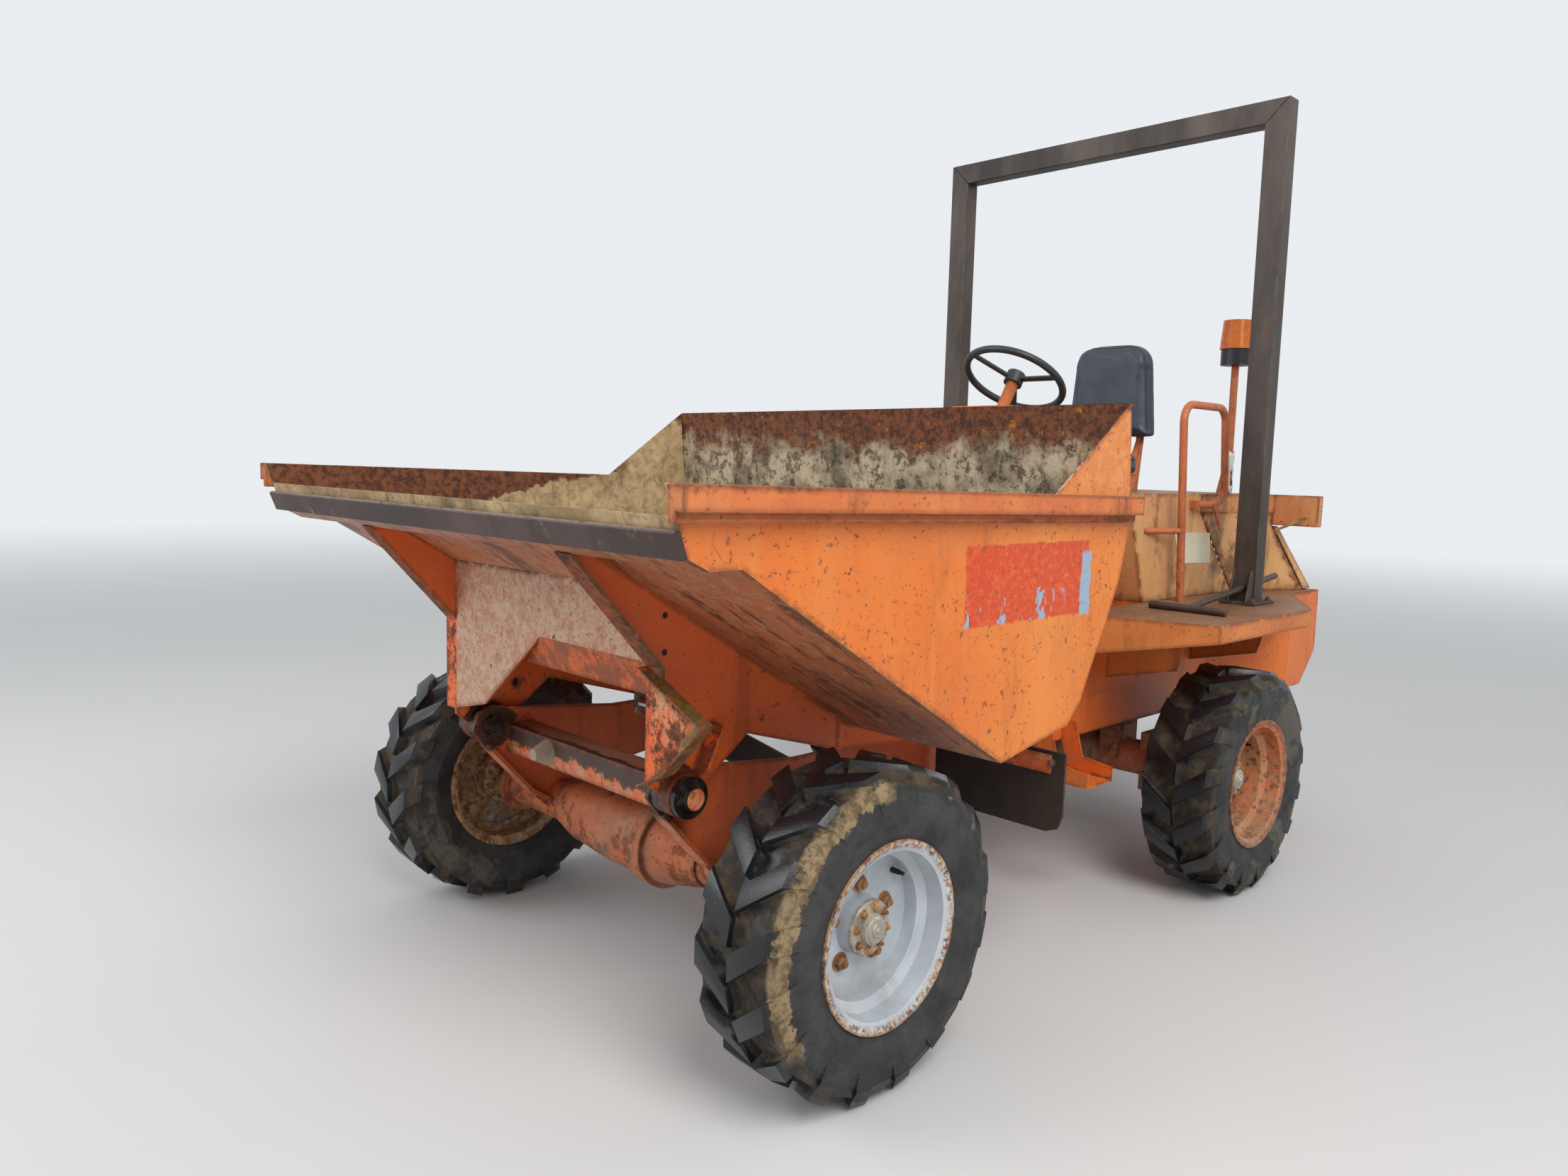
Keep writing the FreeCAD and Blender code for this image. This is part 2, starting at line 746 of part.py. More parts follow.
def build_ram():
    """The tipping ram, built along its own line from the chassis foot to the skip's eye."""
    foot = VECTOR(number(front("ramFootX")), 0, number("ramFootZ"))
    eye = VECTOR(number(front("ramEyeX")), 0, number("ramEyeZ"))
    line = (eye - foot).normalize()
    across = VECTOR(0, 1, 0)
    half = number("ramEyeWide") / 2
    eye_radius = number("ramEyeRadius")
    pin_radius = number("ramPinRadius")
    tube_radius = number("ramTubeRadius")
    long_tube = number("ramTubeLong")
    foot_eye = Part.makeCylinder(eye_radius, 2 * half, foot - across * half, across)
    neck_length = number("ramNeckLong")
    neck = Part.makeCylinder(number("ramNeckRadius"), neck_length + 5, foot, line)
    body = Part.makeCylinder(tube_radius, long_tube - neck_length, foot + line * neck_length, line)
    gland_length = 30
    gland = Part.makeCylinder(tube_radius + 4, gland_length, foot + line * (long_tube - gland_length), line)
    bore = Part.makeCylinder(number("ramRodRadius") + 0.5, long_tube, foot + line * 120, line)
    foot_bore = Part.makeCylinder(pin_radius + number("pinGap"), 4 * half, foot - across * 2 * half, across)
    barrel = body.fuse([foot_eye, neck, gland]).cut(bore).cut(foot_bore)
    keep("ram_barrel", shaped("ram_barrel_solid", barrel))
    rod = Part.makeCylinder(number("ramRodRadius"), (eye - foot).Length - 130, foot + line * 130, line)
    head = Part.makeCylinder(eye_radius, 2 * half, eye - across * half, across)
    keep("ram_rod", shaped("ram_rod_solid", rod.fuse(head)))


def cross_beam(name, x):
    """A beam between the rails, centred ahead of the point x."""
    return box(
        name,
        ("%s - beamLong / 2" % x, "%s + beamLong / 2" % x),
        ("-chassisY + railSheet", "chassisY - railSheet"),
        ("railLowZ + railSheet", "railLowZ + railSheet + beamHigh"),
    )


def ram_foot():
    """Two lugs and the pin that carry the ram, under a cross beam."""
    inside = "(ramEyeWide / 2 + ramEyeClear)"
    points = [
        (front("ramFootX + 0.7 * ramLugRadius"), "ramFootZ + 0.7 * ramLugRadius"),
        (front("ramFootX - 10"), "railLowZ + 2 * railSheet"),
        (front("ramFootX - 100"), "railLowZ + 2 * railSheet"),
        (front("ramFootX - 0.9 * ramLugRadius"), "ramFootZ - 0.4 * ramLugRadius"),
        (front("ramFootX"), "ramFootZ - ramLugRadius"),
        (front("ramFootX + 0.9 * ramLugRadius"), "ramFootZ - 0.4 * ramLugRadius"),
    ]
    lug = plate("ram_foot_lug", "XZ", points, inside, inside + " + ramLugPlate")
    reach = "(%s + 2 * ramLugPlate)" % inside
    pin = cylinder("ram_foot_pin", "y", (front("ramFootX"), "-" + reach, "ramFootZ"), "2 * " + reach, "ramPinRadius")
    return [both_sides("ram_foot", lug), pin, cross_beam("ram_beam", front("ramFootX - beamLong / 2"))]


def tow_hitch():
    """Two drilled cheeks off a plate between the rails' ends."""
    cheeks = []
    for word, low in (("upper", "hitchZ + hitchGap / 2"), ("lower", "hitchZ - hitchGap / 2 - hitchPlate")):
        cheeks.append(box("hitch_" + word, (rear("bodyRearX + 6"), rear("bodyRearX + 140")), ("-70", "70"),
                          (low, low + " + hitchPlate")))
    back = box("hitch_back", (rear("bodyRearX + 140"), rear("bodyRearX + 160")),
               ("-chassisY + railSheet", "chassisY - railSheet"), ("hitchZ - 70", "hitchZ + 70"))
    hole = cylinder("hitch_hole", "z", (rear("bodyRearX + 56"), "0", "hitchZ - 200"), "400", "hitchPin")
    return cut("tow_hitch", fuse("tow_hitch_parts", cheeks + [back]), hole)


def build_front_frame():
    """Side plates from the skip hinge to the rails, the rails and what is welded between them."""
    side = [
        (front("hingeX + noseRadius * 0.7"), "hingeZ + noseRadius * 0.7"),
        (front("hingeX"), "hingeZ + noseRadius"),
        (front("hingeX - noseRadius"), "hingeZ + noseRadius * 0.8"),
        (front("-178"), "chassisTopZ"),
        (front("chassisBackX"), "chassisTopZ"),
        (front("chassisBackX"), "railLowZ"),
        (front("-150"), "railLowZ - 40"),
        (front("-axleTubeRadius"), "tyreRadius + axleTubeRadius * 0.5"),
        (front("-axleTubeRadius * 0.7"), "tyreRadius - axleTubeRadius * 0.4"),
        (front("axleTubeRadius * 0.9"), "tyreRadius - axleTubeRadius * 0.2"),
        (front("129"), "435"),
        (front("hingeX + noseRadius * 0.4"), "hingeZ - noseRadius"),
        (front("hingeX + noseRadius"), "hingeZ - noseRadius * 0.2"),
    ]
    web = plate("front_side", "XZ", side, "chassisY - chassisPlate", "chassisY")
    flange_points = [
        (front("axleTubeRadius"), "tyreRadius + 10"),
        (front("129"), "435"),
        (front("hingeX + noseRadius * 0.4"), "hingeZ - noseRadius"),
        (front("hingeX + noseRadius * 0.4 - 9"), "hingeZ - noseRadius + 6"),
        (front("129 - 9"), "441"),
        (front("axleTubeRadius"), "tyreRadius + 24"),
    ]
    flange = plate("front_edge_flange", "XZ", flange_points, "chassisY - 40", "chassisY + 18")
    rail = box(
        "main_rail",
        (rear("bodyRearX + bodySheet + tailGap"), front("chassisBackX")),
        ("chassisY - railWide", "chassisY"),
        ("railLowZ", "chassisTopZ"),
    )
    pocket = box(
        "rail_pocket",
        (rear("bodyRearX"), front("chassisBackX - railSheet")),
        ("chassisY - railWide - 1", "chassisY - railSheet"),
        ("railLowZ + railSheet", "chassisTopZ - railSheet"),
    )
    strip = box(
        "flap_strip",
        (front("flapX + flapThick"), front("flapX + flapThick + 6")),
        ("chassisY", "flapOut - 40"),
        ("flapTopZ - 60", "flapTopZ - 10"),
    )
    left = fuse("front_frame_left", [web, flange, cut("rail_channel", rail, pocket), strip])
    reach = "(chassisY - chassisPlate)"
    half_side = "crossTubeSide / 2"
    tube_box = box(
        "cross_tube",
        (front("crossTubeX - %s" % half_side), front("crossTubeX + %s" % half_side)),
        ("-" + reach, reach),
        ("crossTubeZ - %s" % half_side, "crossTubeZ + %s" % half_side),
    )
    beams = [
        cross_beam("engine_beam_front", rear("hoodFootX - 220")),
        cross_beam("engine_beam_rear", rear("hoodFootX - 80 - engineLong")),
    ]
    parts = [left, mirrored("front_frame_mirror", left), tube_box, tow_hitch()] + beams + ram_foot()
    whole = fuse("front_frame_whole", parts)
    pin_hole = cylinder(
        "front_pin_hole", "y", (front("hingeX"), "-2 * chassisY", "hingeZ"), "4 * chassisY", "pinRadius"
    )
    axle_hole = cylinder(
        "front_axle_hole", "y", (front("0"), "-2 * chassisY", "tyreRadius"), "4 * chassisY", "axleTubeRadius"
    )
    tools = fuse("front_frame_tools", [pin_hole, axle_hole])
    keep("chassis_frame", cut("front_frame_solid", whole, tools))
    cone = document.addObject("Part::Cone", "buffer_cone")
    cone.Placement = FreeCAD.Placement(VECTOR(), AXIS_TURN["x"])
    bind(cone, Radius1="bufferRadius", Radius2="bufferRadius * 0.45", Height="bufferLong")
    bind(
        cone,
        Placement__Base__x=front("crossTubeX + %s" % half_side),
        Placement__Base__y="bufferY",
        Placement__Base__z="crossTubeZ",
    )
    keep("tipping_buffer", cone)


def axle_beam(name, x, half_length):
    """A round beam with the bolted differential casing off its middle."""
    beam = cylinder(name + "_beam", "y", (x, "-(%s)" % half_length, "tyreRadius"),
                    "2 * (%s)" % half_length, "axleTubeRadius")
    casing = revolved(
        name + "_casing",
        [
            ("-casingHalf - 90", "0"),
            ("-casingHalf - 90", "axleTubeRadius * 1.1"),
            ("-casingHalf", "casingRadius * 0.86"),
            ("-casingHalf * 0.2", "casingRadius"),
            ("casingHalf * 0.5", "casingRadius"),
            ("casingHalf * 0.5", "casingRadius * 1.12"),
            ("casingHalf * 0.7", "casingRadius * 1.12"),
            ("casingHalf * 0.7", "casingRadius"),
            ("casingHalf", "casingRadius * 0.86"),
            ("casingHalf + 100", "axleTubeRadius * 1.1"),
            ("casingHalf + 100", "0"),
        ],
        x, "casingShift", "tyreRadius",
    )
    return [beam, casing]


def build_front_axle():
    middle = axle_beam("front_axle", front("0"), "axleHalfLength")
    pinion = cylinder(
        "front_pinion", "x", (front("-casingRadius - 60"), "pinionY", "pinionZ"), "casingRadius", "pinionRadius"
    )
    flange = cylinder("front_axle_flange", "y", (front("0"), "axleHalfLength", "tyreRadius"), "24", "hubRadius")
    inner = "halfTrack + rimOffset + rimWide / 2 - frontDish"
    spindle_end = inner + " - 30 + spindleDeep / 2"
    spindle = cylinder(
        "front_spindle", "y", (front("0"), "axleHalfLength", "tyreRadius"),
        "%s - axleHalfLength" % spindle_end, "spindleRadius",
    )
    ends = both_sides("front_axle_ends", fuse("front_axle_end", [flange, spindle]))
    keep("front_axle", fuse("front_axle_solid", middle + [pinion, ends]))


def build_rear_axle():
    """The steered axle: its beam ends in a yoke round each kingpin and hangs on two pads."""
    middle = axle_beam("rear_axle", rear("0"), "kingpinY - knuckleRadius - 30")
    pinion = cylinder("rear_pinion", "x", (rear("60"), "pinionY", "pinionZ"), "casingRadius - 40", "pinionRadius")
    yoke_z = "(knuckleRadius * 1.5 + yokeGap)"
    arms = []
    for word, sign in (("upper", "+"), ("lower", "-")):
        low = "tyreRadius + %s" % yoke_z if sign == "+" else "tyreRadius - %s - yokeThick" % yoke_z
        arm = box(
            "yoke_" + word,
            (rear("-knuckleRadius"), rear("knuckleRadius")),
            ("kingpinY - knuckleRadius - 60", "kingpinY"),
            (low, low + " + yokeThick"),
        )
        end = cylinder("yoke_end_" + word, "z", (rear("0"), "kingpinY", low), "yokeThick", "knuckleRadius")
        arms += [arm, end]
    web = box(
        "yoke_web",
        (rear("-knuckleRadius"), rear("knuckleRadius")),
        ("kingpinY - knuckleRadius - 60", "kingpinY - knuckleRadius - 20"),
        ("tyreRadius - %s - yokeThick" % yoke_z, "tyreRadius + %s + yokeThick" % yoke_z),
    )
    pin = cylinder(
        "kingpin", "z", (rear("0"), "kingpinY", "tyreRadius - %s - yokeThick - 8" % yoke_z),
        "2 * (%s + yokeThick + 8)" % yoke_z, "kingpinRadius",
    )
    pad = box(
        "rear_axle_pad",
        (rear("-70"), rear("70")),
        ("chassisY - railWide", "chassisY"),
        ("tyreRadius", "railLowZ"),
    )
    ends = both_sides("rear_axle_ends", fuse("rear_axle_end", arms + [web, pin, pad]))
    keep("rear_axle", fuse("rear_axle_solid", middle + [pinion, ends]))


def build_knuckles():
    """Each knuckle turns on its kingpin, carries the wheel's spindle and has a steering arm."""
    high = "knuckleRadius * 1.5"
    barrel = cylinder("knuckle_barrel", "z", (rear("0"), "kingpinY", "tyreRadius - %s" % high),
                      "2 * %s" % high, "knuckleRadius")
    inner = "halfTrack + rimOffset + rimWide / 2 - rearDish"
    spindle = cylinder("knuckle_spindle", "y", (rear("0"), "kingpinY", "tyreRadius"),
                       "%s - 30 + spindleDeep / 2 - kingpinY" % inner, "spindleRadius")
    flange = cylinder("knuckle_flange", "y", (rear("0"), "kingpinY + knuckleRadius * 0.6", "tyreRadius"),
                      "24", "hubRadius * 0.9")
    arm = box(
        "knuckle_arm",
        (rear("-steerArm - 24"), rear("0")),
        ("kingpinY - 24", "kingpinY + 10"),
        ("tyreRadius - %s" % high, "tyreRadius - %s + 26" % high),
    )
    bore = cylinder("knuckle_bore", "z", (rear("0"), "kingpinY", "0"), "2 * tyreRadius", "kingpinRadius + pinGap")
    knuckle = cut("knuckle_solid", fuse("knuckle_parts", [barrel, spindle, flange, arm]), bore)
    keep("knuckle_left", knuckle)
    keep("knuckle_right", mirrored("knuckle_mirror", knuckle))
    # The tie rod lies over the steering arms, its end studs just clear of them.
    rod_z = "tyreRadius - %s + 26 + seatGap + tieRodRadius * 1.4" % high
    reach = "(kingpinY - 7)"
    rod = cylinder("tie_rod_bar", "y", (rear("-steerArm"), "-" + reach, rod_z), "2 * " + reach, "tieRodRadius")
    eye = cylinder("tie_rod_eye", "z", (rear("-steerArm"), reach, rod_z + " - tieRodRadius * 1.4"),
                   "tieRodRadius * 2.8", "tieRodRadius * 1.7")
    keep("tie_rod", fuse("tie_rod_solid", [rod, both_sides("tie_rod_eyes", eye)]))


# Wheels: one tyre and two kinds of rim, placed four times.
def turned(points):
    """A ring turned about the Y axis from pairs of (along the axis, radius)."""
    corners = [VECTOR(0, along, radius) for along, radius in points]
    face = Part.Face(Part.makePolygon(corners + [corners[0]]))
    return face.revolve(VECTOR(0, 0, 0), VECTOR(0, 1, 0), 360)


def round_point(angle, along, radius):
    """A point about the Y axis at an angle from straight up."""
    return VECTOR(radius * math.sin(angle), along, radius * math.cos(angle))


def flat_sided(loops):
    """A solid of flat faces, each given by its corners."""
    faces = [Part.Face(Part.makePolygon(corners + [corners[0]])) for corners in loops]
    skin = Part.makeShell(faces)
    skin.sewShape()
    solid = Part.Solid(skin)
    if solid.Volume < 0:
        solid.reverse()
    return solid


def faceted_ring(profile, count):
    """A ring of flat facets round the Y axis from pairs of (along the axis, radius)."""
    step = 2 * math.pi / count
    loops = []
    for i in range(count):
        low = i * step
        high = low + step
        for start, end in zip(profile, profile[1:] + profile[:1]):
            loops.append([
                round_point(low, *start), round_point(low, *end), round_point(high, *end), round_point(high, *start),
            ])
    return flat_sided(loops)


def lug_shape(top, slant, wide, deep):
    """A slanted tread lug: its top line of (across, radius) points, carried straight into the carcass."""
    start, radius = top[0]

    def corner(i, side):
        """A corner of the top on the leading or trailing side."""
        sweep = (top[i][0] - start) * math.tan(slant)
        return round_point((side * wide / 2 - sweep) / radius, *top[i])

    last = len(top) - 1
    middle = -(top[last][0] - start) * math.tan(slant) / radius / 2
    down = round_point(middle, 0, -deep)
    rim = [corner(i, -1) for i in range(last + 1)] + [corner(i, 1) for i in range(last, -1, -1)]
    loops = []
    for i in range(last):
        ahead, ahead_next = corner(i, -1), corner(i + 1, -1)
        behind, behind_next = corner(i, 1), corner(i + 1, 1)
        loops += [[ahead, ahead_next, behind_next], [ahead, behind_next, behind]]
    loops += [[point + down for point in loop] for loop in loops]
    for point, following in zip(rim, rim[1:] + rim[:1]):
        loops.append([point, following, following + down, point + down])
    return flat_sided(loops)


def tyre_shape():
    """A faceted carcass with two rows of slanted lugs, half a pitch apart."""
    radius = number("tyreRadius")
    lug = number("lugHeight")
    half = number("tyreWidth") / 2
    gap = number("carcassGap")
    seat = number("rimSeatRadius") + gap
    flange = number("rimFlangeRadius")
    shift = number("rimOffset")
    bead = number("rimWide") / 2 - number("rimThick") - gap
    curl = number("rimCurl")
    wall_radius = (radius + seat) / 2
    shoulder = 14
    # The facets' middles, not their corners, keep clear of the round rim.
    facets = int(number("tyreFacets"))
    spread = 1 / math.cos(math.pi / facets)
    carcass = [
        (-bead + curl + shift, seat * spread),
        (bead - curl + shift, seat * spread),
        (bead + shift, flange * spread),
        (half, wall_radius),
        (half - shoulder, radius - lug - shoulder / 2),
        (-half + shoulder, radius - lug - shoulder / 2),
        (-half, wall_radius),
        (-bead + shift, flange * spread),
    ]
    slant = math.radians(number("lugAngle"))
    wide = number("lugWide") / math.cos(slant)
    # The lug's flat top touches the tyre's radius at its middle, so its corners stand further out.
    crown = radius / math.cos(wide / 2 / radius)
    top = [(number("lugStart"), crown), (half - 2 * shoulder, crown - 3), (half - 1, radius - 2 * lug)]
    bar = lug_shape(top, slant, wide, radius - 2 * lug - wall_radius)
    rows = [bar, bar.mirror(VECTOR(0, 0, 0), VECTOR(0, 1, 0))]
    count = int(number("lugsPerSide"))
    bars = []
    for row, offset in zip(rows, (0, 0.5)):
        for i in range(count):
            copy = row.copy()
            copy.rotate(VECTOR(0, 0, 0), VECTOR(0, 1, 0), 360.0 * (i + offset) / count)
            bars.append(copy)
    return faceted_ring(carcass, facets).fuse(bars).removeSplitter()


def rim_shape(dish, cap_out):
    """Rim, dished disc and hub in one; the outer flange faces +Y."""
    half = number("rimWide") / 2
    shift = number("rimOffset")
    thick = number("rimThick")
    curl = number("rimCurl")
    flange = number("rimFlangeRadius")
    seat = number("rimSeatRadius")
    well = number("rimWellRadius")
    ring = flange - number("rimRing")
    outer = [
        (half, flange), (half - thick, flange), (half - thick - curl, seat), (half - 52, seat - 3),
        (half - 66, well), (-half + 84, well), (-half + 62, seat - 3), (-half + thick + curl, seat),
        (-half + thick, flange), (-half, flange),
    ]
    inner = [
        (-half, ring), (-half + curl, seat - thick), (-half + 58, seat - thick - 3),
        (-half + 80, well - thick), (half - dish - thick, well - thick),
    ]
    hub = number("hubRadius")
    cap = number("hubFaceRadius")
    boss = number("hubBossRadius")
    bore = number("spindleRadius") + number("spindleGap")
    bore_back = half - dish - 30 - number("spindleDeep") / 2
    bore_front = half - dish - 30 + number("spindleDeep") / 2 + 4
    face = half - dish + cap_out
    disc = [
        (half - dish - thick * 1.6, hub + 40),
        (half - dish - thick, hub),
        (bore_back, hub),
        (bore_back, bore),
        (bore_front, bore),
        (bore_front, 0),
        (face + number("hubBossOut"), 0),
        (face + number("hubBossOut"), boss),
        (face, boss + 4),
        (face, cap - 4),
        (face - 4, cap),
        (half - dish + thick, cap + 4),
        (half - dish + 4, hub + 40),
        (half - dish + thick, well - thick),
        (half - 70, well - thick),
        (half - 58, seat - thick - 3),
        (half - curl, seat - thick),
        (half, ring),
    ]
    return turned([(a + shift, r) for a, r in outer + inner + disc])


def build_wheels():
    tyre = tyre_shape()
    rims = {
        "front": rim_shape(number("frontDish"), number("frontHubOut")),
        "rear": rim_shape(number("rearDish"), number("rearHubOut")),
    }
    places = {"front": number(front("0")), "rear": number(rear("0"))}
    for end in ("front", "rear"):
        for word, shape in (("tyre", tyre), ("rim", rims[end])):
            name = "%s_%s_" % (word, end)
            wheel = shaped(name + "solid", shape)
            wheel.Placement.Base = VECTOR(places[end], number("halfTrack"), number("tyreRadius"))
            keep(name + "left", wheel)
            keep(name + "right", mirrored(name + "mirror", wheel))


def body_plan(inset):
    """Plan of the rear body, its left side flaring out behind the wheels."""
    half = [
        ("bodyFrontX - (%s)" % inset, "bodyHalf - (%s)" % inset),
        ("flareFrontX - 0.3 * (%s)" % inset, "bodyHalf - (%s)" % inset),
        ("flareRearX - 0.3 * (%s)" % inset, "bodyRearHalf - (%s)" % inset),
        ("bodyRearX + (%s)" % inset, "bodyRearHalf - (%s)" % inset),
    ]
    left = [(rear(x), y) for x, y in half]
    right = [(rear(x), "-(%s)" % y) for x, y in reversed(half)]
    return left + right


def fender_solid():
    """The left wheel's top plate with its folded edges, deeper along the front, on two gussets."""
    tray = [
        (rear("fenderInnerX"), "bodyHalf"),
        (rear("fenderFrontX"), "fenderHalf"),
        (rear("fenderRearX"), "fenderHalf"),
        (rear("flareRearX"), "bodyRearHalf"),
        (rear("flareFrontX"), "bodyHalf"),
    ]
    hollow = [
        (rear("fenderInnerX - deckPlate"), "bodyHalf - 1"),
        (rear("fenderFrontX - 1.2 * deckPlate"), "fenderHalf - deckPlate"),
        (rear("fenderRearX + 0.3 * deckPlate"), "fenderHalf - deckPlate"),
        (rear("flareRearX + 0.6 * deckPlate"), "bodyRearHalf - 1"),
        (rear("flareFrontX"), "bodyHalf - 1"),
    ]
    low = "deckZ - fenderDrop"
    top = plate("fender_tray", "XY", tray, low, "deckZ")
    below = plate("fender_below", "XY", hollow, low + " - 1", "deckZ - deckPlate")
    wedge_points = [
        ("bodyHalf - 1", low),
        ("fenderHalf", "deckZ - deckFlange"),
        ("fenderHalf + 1", "deckZ - deckFlange"),
        ("fenderHalf + 1", low + " - 1"),
        ("bodyHalf - 1", low + " - 1"),
    ]
    wedge = plate("fender_wedge", "YZ", wedge_points, rear("bodyRearX"), rear("fenderInnerX + 1"))
    behind = box(
        "fender_behind",
        (rear("bodyRearX"), rear("fenderFrontX - 2 * deckPlate")),
        ("bodyHalf - 1", "fenderHalf + 1"),
        (low + " - 1", "deckZ - deckFlange"),
    )
    parts = [cut("fender_shell", top, fuse("fender_tools", [below, wedge, behind]))]
    for word, x in (("front", "gussetOneX"), ("rear", "gussetTwoX")):
        points = [
            ("bodyHalf", "deckZ - deckPlate"),
            ("bodyHalf", "gussetInnerZ"),
            ("bodyHalf + gussetLowOut", "gussetLowZ"),
            ("bodyHalf + gussetOut", "deckZ - deckPlate"),
        ]
        parts.append(plate("gusset_" + word, "YZ", points, rear(x), rear(x + " + deckPlate")))
    return fuse("fender_solid", parts)


def build_rear_body():
    outer = plate("body_outer", "XY", body_plan("0"), "bodyLowZ", "deckZ - deckPlate")
    inner = plate("body_space", "XY", body_plan("bodySheet"), "bodyLowZ - 10", "deckZ")
    shell = cut("body_shell", outer, inner)
    tail_cut = box(
        "body_tail_cut",
        (rear("bodyRearX - 10"), rear("flareFrontX")),
        ("-bodyRearHalf - 10", "bodyRearHalf + 10"),
        ("bodyLowZ - 10", "bodyTailZ"),
    )
    corner_points = [
        (rear("bodyRearX - 1"), "bodyTailZ - 1"),
        (rear("bodyRearX + 130"), "bodyTailZ - 1"),
        (rear("bodyRearX - 1"), "bodyTailZ + 130"),
    ]
    corner = plate("body_corner_cut", "XZ", corner_points, "-bodyRearHalf - 10", "bodyRearHalf + 10")
    rail_slot = box(
        "body_rail_slot",
        (rear("bodyFrontX - 20"), rear("bodyFrontX + 20")),
        ("-chassisY - 1", "chassisY + 1"),
        ("bodyLowZ - 10", "chassisTopZ + 1"),
    )
    hitch_slot = box(
        "body_hitch_slot",
        (rear("bodyRearX - 20"), rear("bodyRearX + 20")),
        ("-150", "150"),
        ("bodyLowZ - 10", "bodyTailZ + 130"),
    )
    tools = fuse("body_tools", [tail_cut, corner, rail_slot, hitch_slot])
    floor = box(
        "floor_sheet",
        (rear("hoodFootX"), rear("bodyFrontX - bodySheet / 2")),
        ("-bodyHalf + bodySheet / 2", "bodyHalf - bodySheet / 2"),
        ("floorZ", "floorZ + deckPlate"),
    )
    bulkhead = box(
        "engine_bulkhead",
        (rear("hoodFootX - deckPlate"), rear("hoodFootX + deckPlate / 2")),
        ("-bodyHalf + bodySheet / 2", "bodyHalf - bodySheet / 2"),
        ("floorZ", "deckZ - deckPlate"),
    )
    shell_cut = cut("body_cut", shell, tools)
    keep("rear_body", fuse("rear_body_solid", [shell_cut, floor, bulkhead]))
    keep("fenders", both_sides("fenders", fender_solid()))
    deck = plate("deck_plate", "XY", body_plan("0"), "deckZ - deckPlate", "deckZ")
    bay = box(
        "deck_bay",
        (rear("bodyRearX + 90"), rear("hoodFootX - 60")),
        ("-bodyHalf + 60", "bodyHalf - 60"),
        ("deckZ - 20", "deckZ + 20"),
    )
    well = box(
        "deck_well",
        (rear("hoodFootX"), rear("bodyFrontX + 1")),
        ("-bodyHalf - 1", "bodyHalf + 1"),
        ("deckZ - 20", "deckZ + 20"),
    )
    hinge_low = "tailHingeY - tailHingeLong / 2 - tailLugWide"
    hinge_x = rear("bodyRearX + tailHingeX")
    hinge_z = "deckZ + tailHingeZ"
    lugs = [cylinder("deck_pin", "y", (hinge_x, hinge_low, hinge_z), "tailHingeLong + 2 * tailLugWide", "tailPinRadius")]
    for word, start in (("inner", hinge_low), ("outer", hinge_low + " + tailLugWide + tailHingeLong")):
        ends = ("%s + 1" % start, "%s + tailLugWide - 1" % start)
        lugs.append(cylinder("deck_lug_top_" + word, "y", (hinge_x, ends[0], hinge_z),
                             "tailLugWide - 2", "tailHingeRadius"))
        lugs.append(box("deck_lug_" + word, (hinge_x + " - tailHingeRadius", hinge_x + " + tailHingeRadius"),
                        ends, ("deckZ - deckPlate", hinge_z)))
    sheet_cut = cut("deck_sheet", deck, fuse("deck_openings", [bay, well]))
    keep("rear_deck", fuse("rear_deck_solid", [sheet_cut, both_sides("deck_hinges", fuse("deck_hinge", lugs))]))


def build_operator_place():
    console_points = [
        (rear("consoleX"), "floorZ + deckPlate"),
        (rear("consoleX"), "consoleTopZ - 60"),
        (rear("consoleX - 0.4 * consoleDeep"), "consoleTopZ"),
        (rear("consoleX - consoleDeep"), "consoleTopZ"),
        (rear("consoleX - consoleDeep"), "floorZ + deckPlate"),
    ]
    housing = plate("console_housing", "XZ", console_points, "-consoleHalf", "consoleHalf")
    lean = math.radians(number("columnLean"))
    hub = VECTOR(number(rear("wheelHubX")), 0, number("wheelHubZ"))
    along = VECTOR(-math.sin(lean), 0, math.cos(lean))
    back_x = number(rear("consoleX - consoleDeep"))
    drop = (back_x - hub.x) / math.sin(lean)
    foot = hub - along * drop
    boss_drop = number("hubBossDrop")
    sunk = 2 * number("columnRadius")
    column = Part.makeCylinder(
        number("columnRadius"), drop - boss_drop - number("seatGap") + sunk, foot - along * sunk, along
    )
    keep("console", fuse("console_solid", [housing, shaped("steering_column", column)]))
    ring = Part.makeTorus(number("handWheelRadius"), number("handWheelTube"), hub, along)
    boss = Part.makeCylinder(number("wheelBossRadius"), number("wheelBossHigh"), hub - along * boss_drop, along)
    wheel = ring.fuse(boss)
    wide = number("spokeWide")
    thick = number("spokeThick")
    for angle in (90, 210, 330):
        spoke = Part.makeBox(number("handWheelRadius"), wide, thick, VECTOR(0, -wide / 2, -thick / 2))
        spoke.rotate(VECTOR(0, 0, 0), VECTOR(0, 0, 1), angle)
        spoke.rotate(VECTOR(0, 0, 0), VECTOR(0, 1, 0), -math.degrees(lean))
        spoke.translate(hub)
        wheel = wheel.fuse(spoke)
    keep("steering_wheel", shaped("steering_wheel_solid", wheel))
    pedal = box(
        "pedal_pad",
        (rear("consoleX - 20 - pedalLong"), rear("consoleX - 20")),
        ("pedalY - pedalWide / 2", "pedalY + pedalWide / 2"),
        ("floorZ + pedalZ", "floorZ + pedalZ + pedalThick"),
    )
    arm = box(
        "pedal_arm",
        (rear("consoleX - pedalLong / 2 - pedalArm"), rear("consoleX - pedalLong / 2")),
        ("pedalY - pedalArm / 2", "pedalY + pedalArm / 2"),
        ("floorZ + deckPlate", "floorZ + pedalZ"),
    )
    keep("foot_pedals", both_sides("foot_pedals", fuse("foot_pedal", [pedal, arm])))


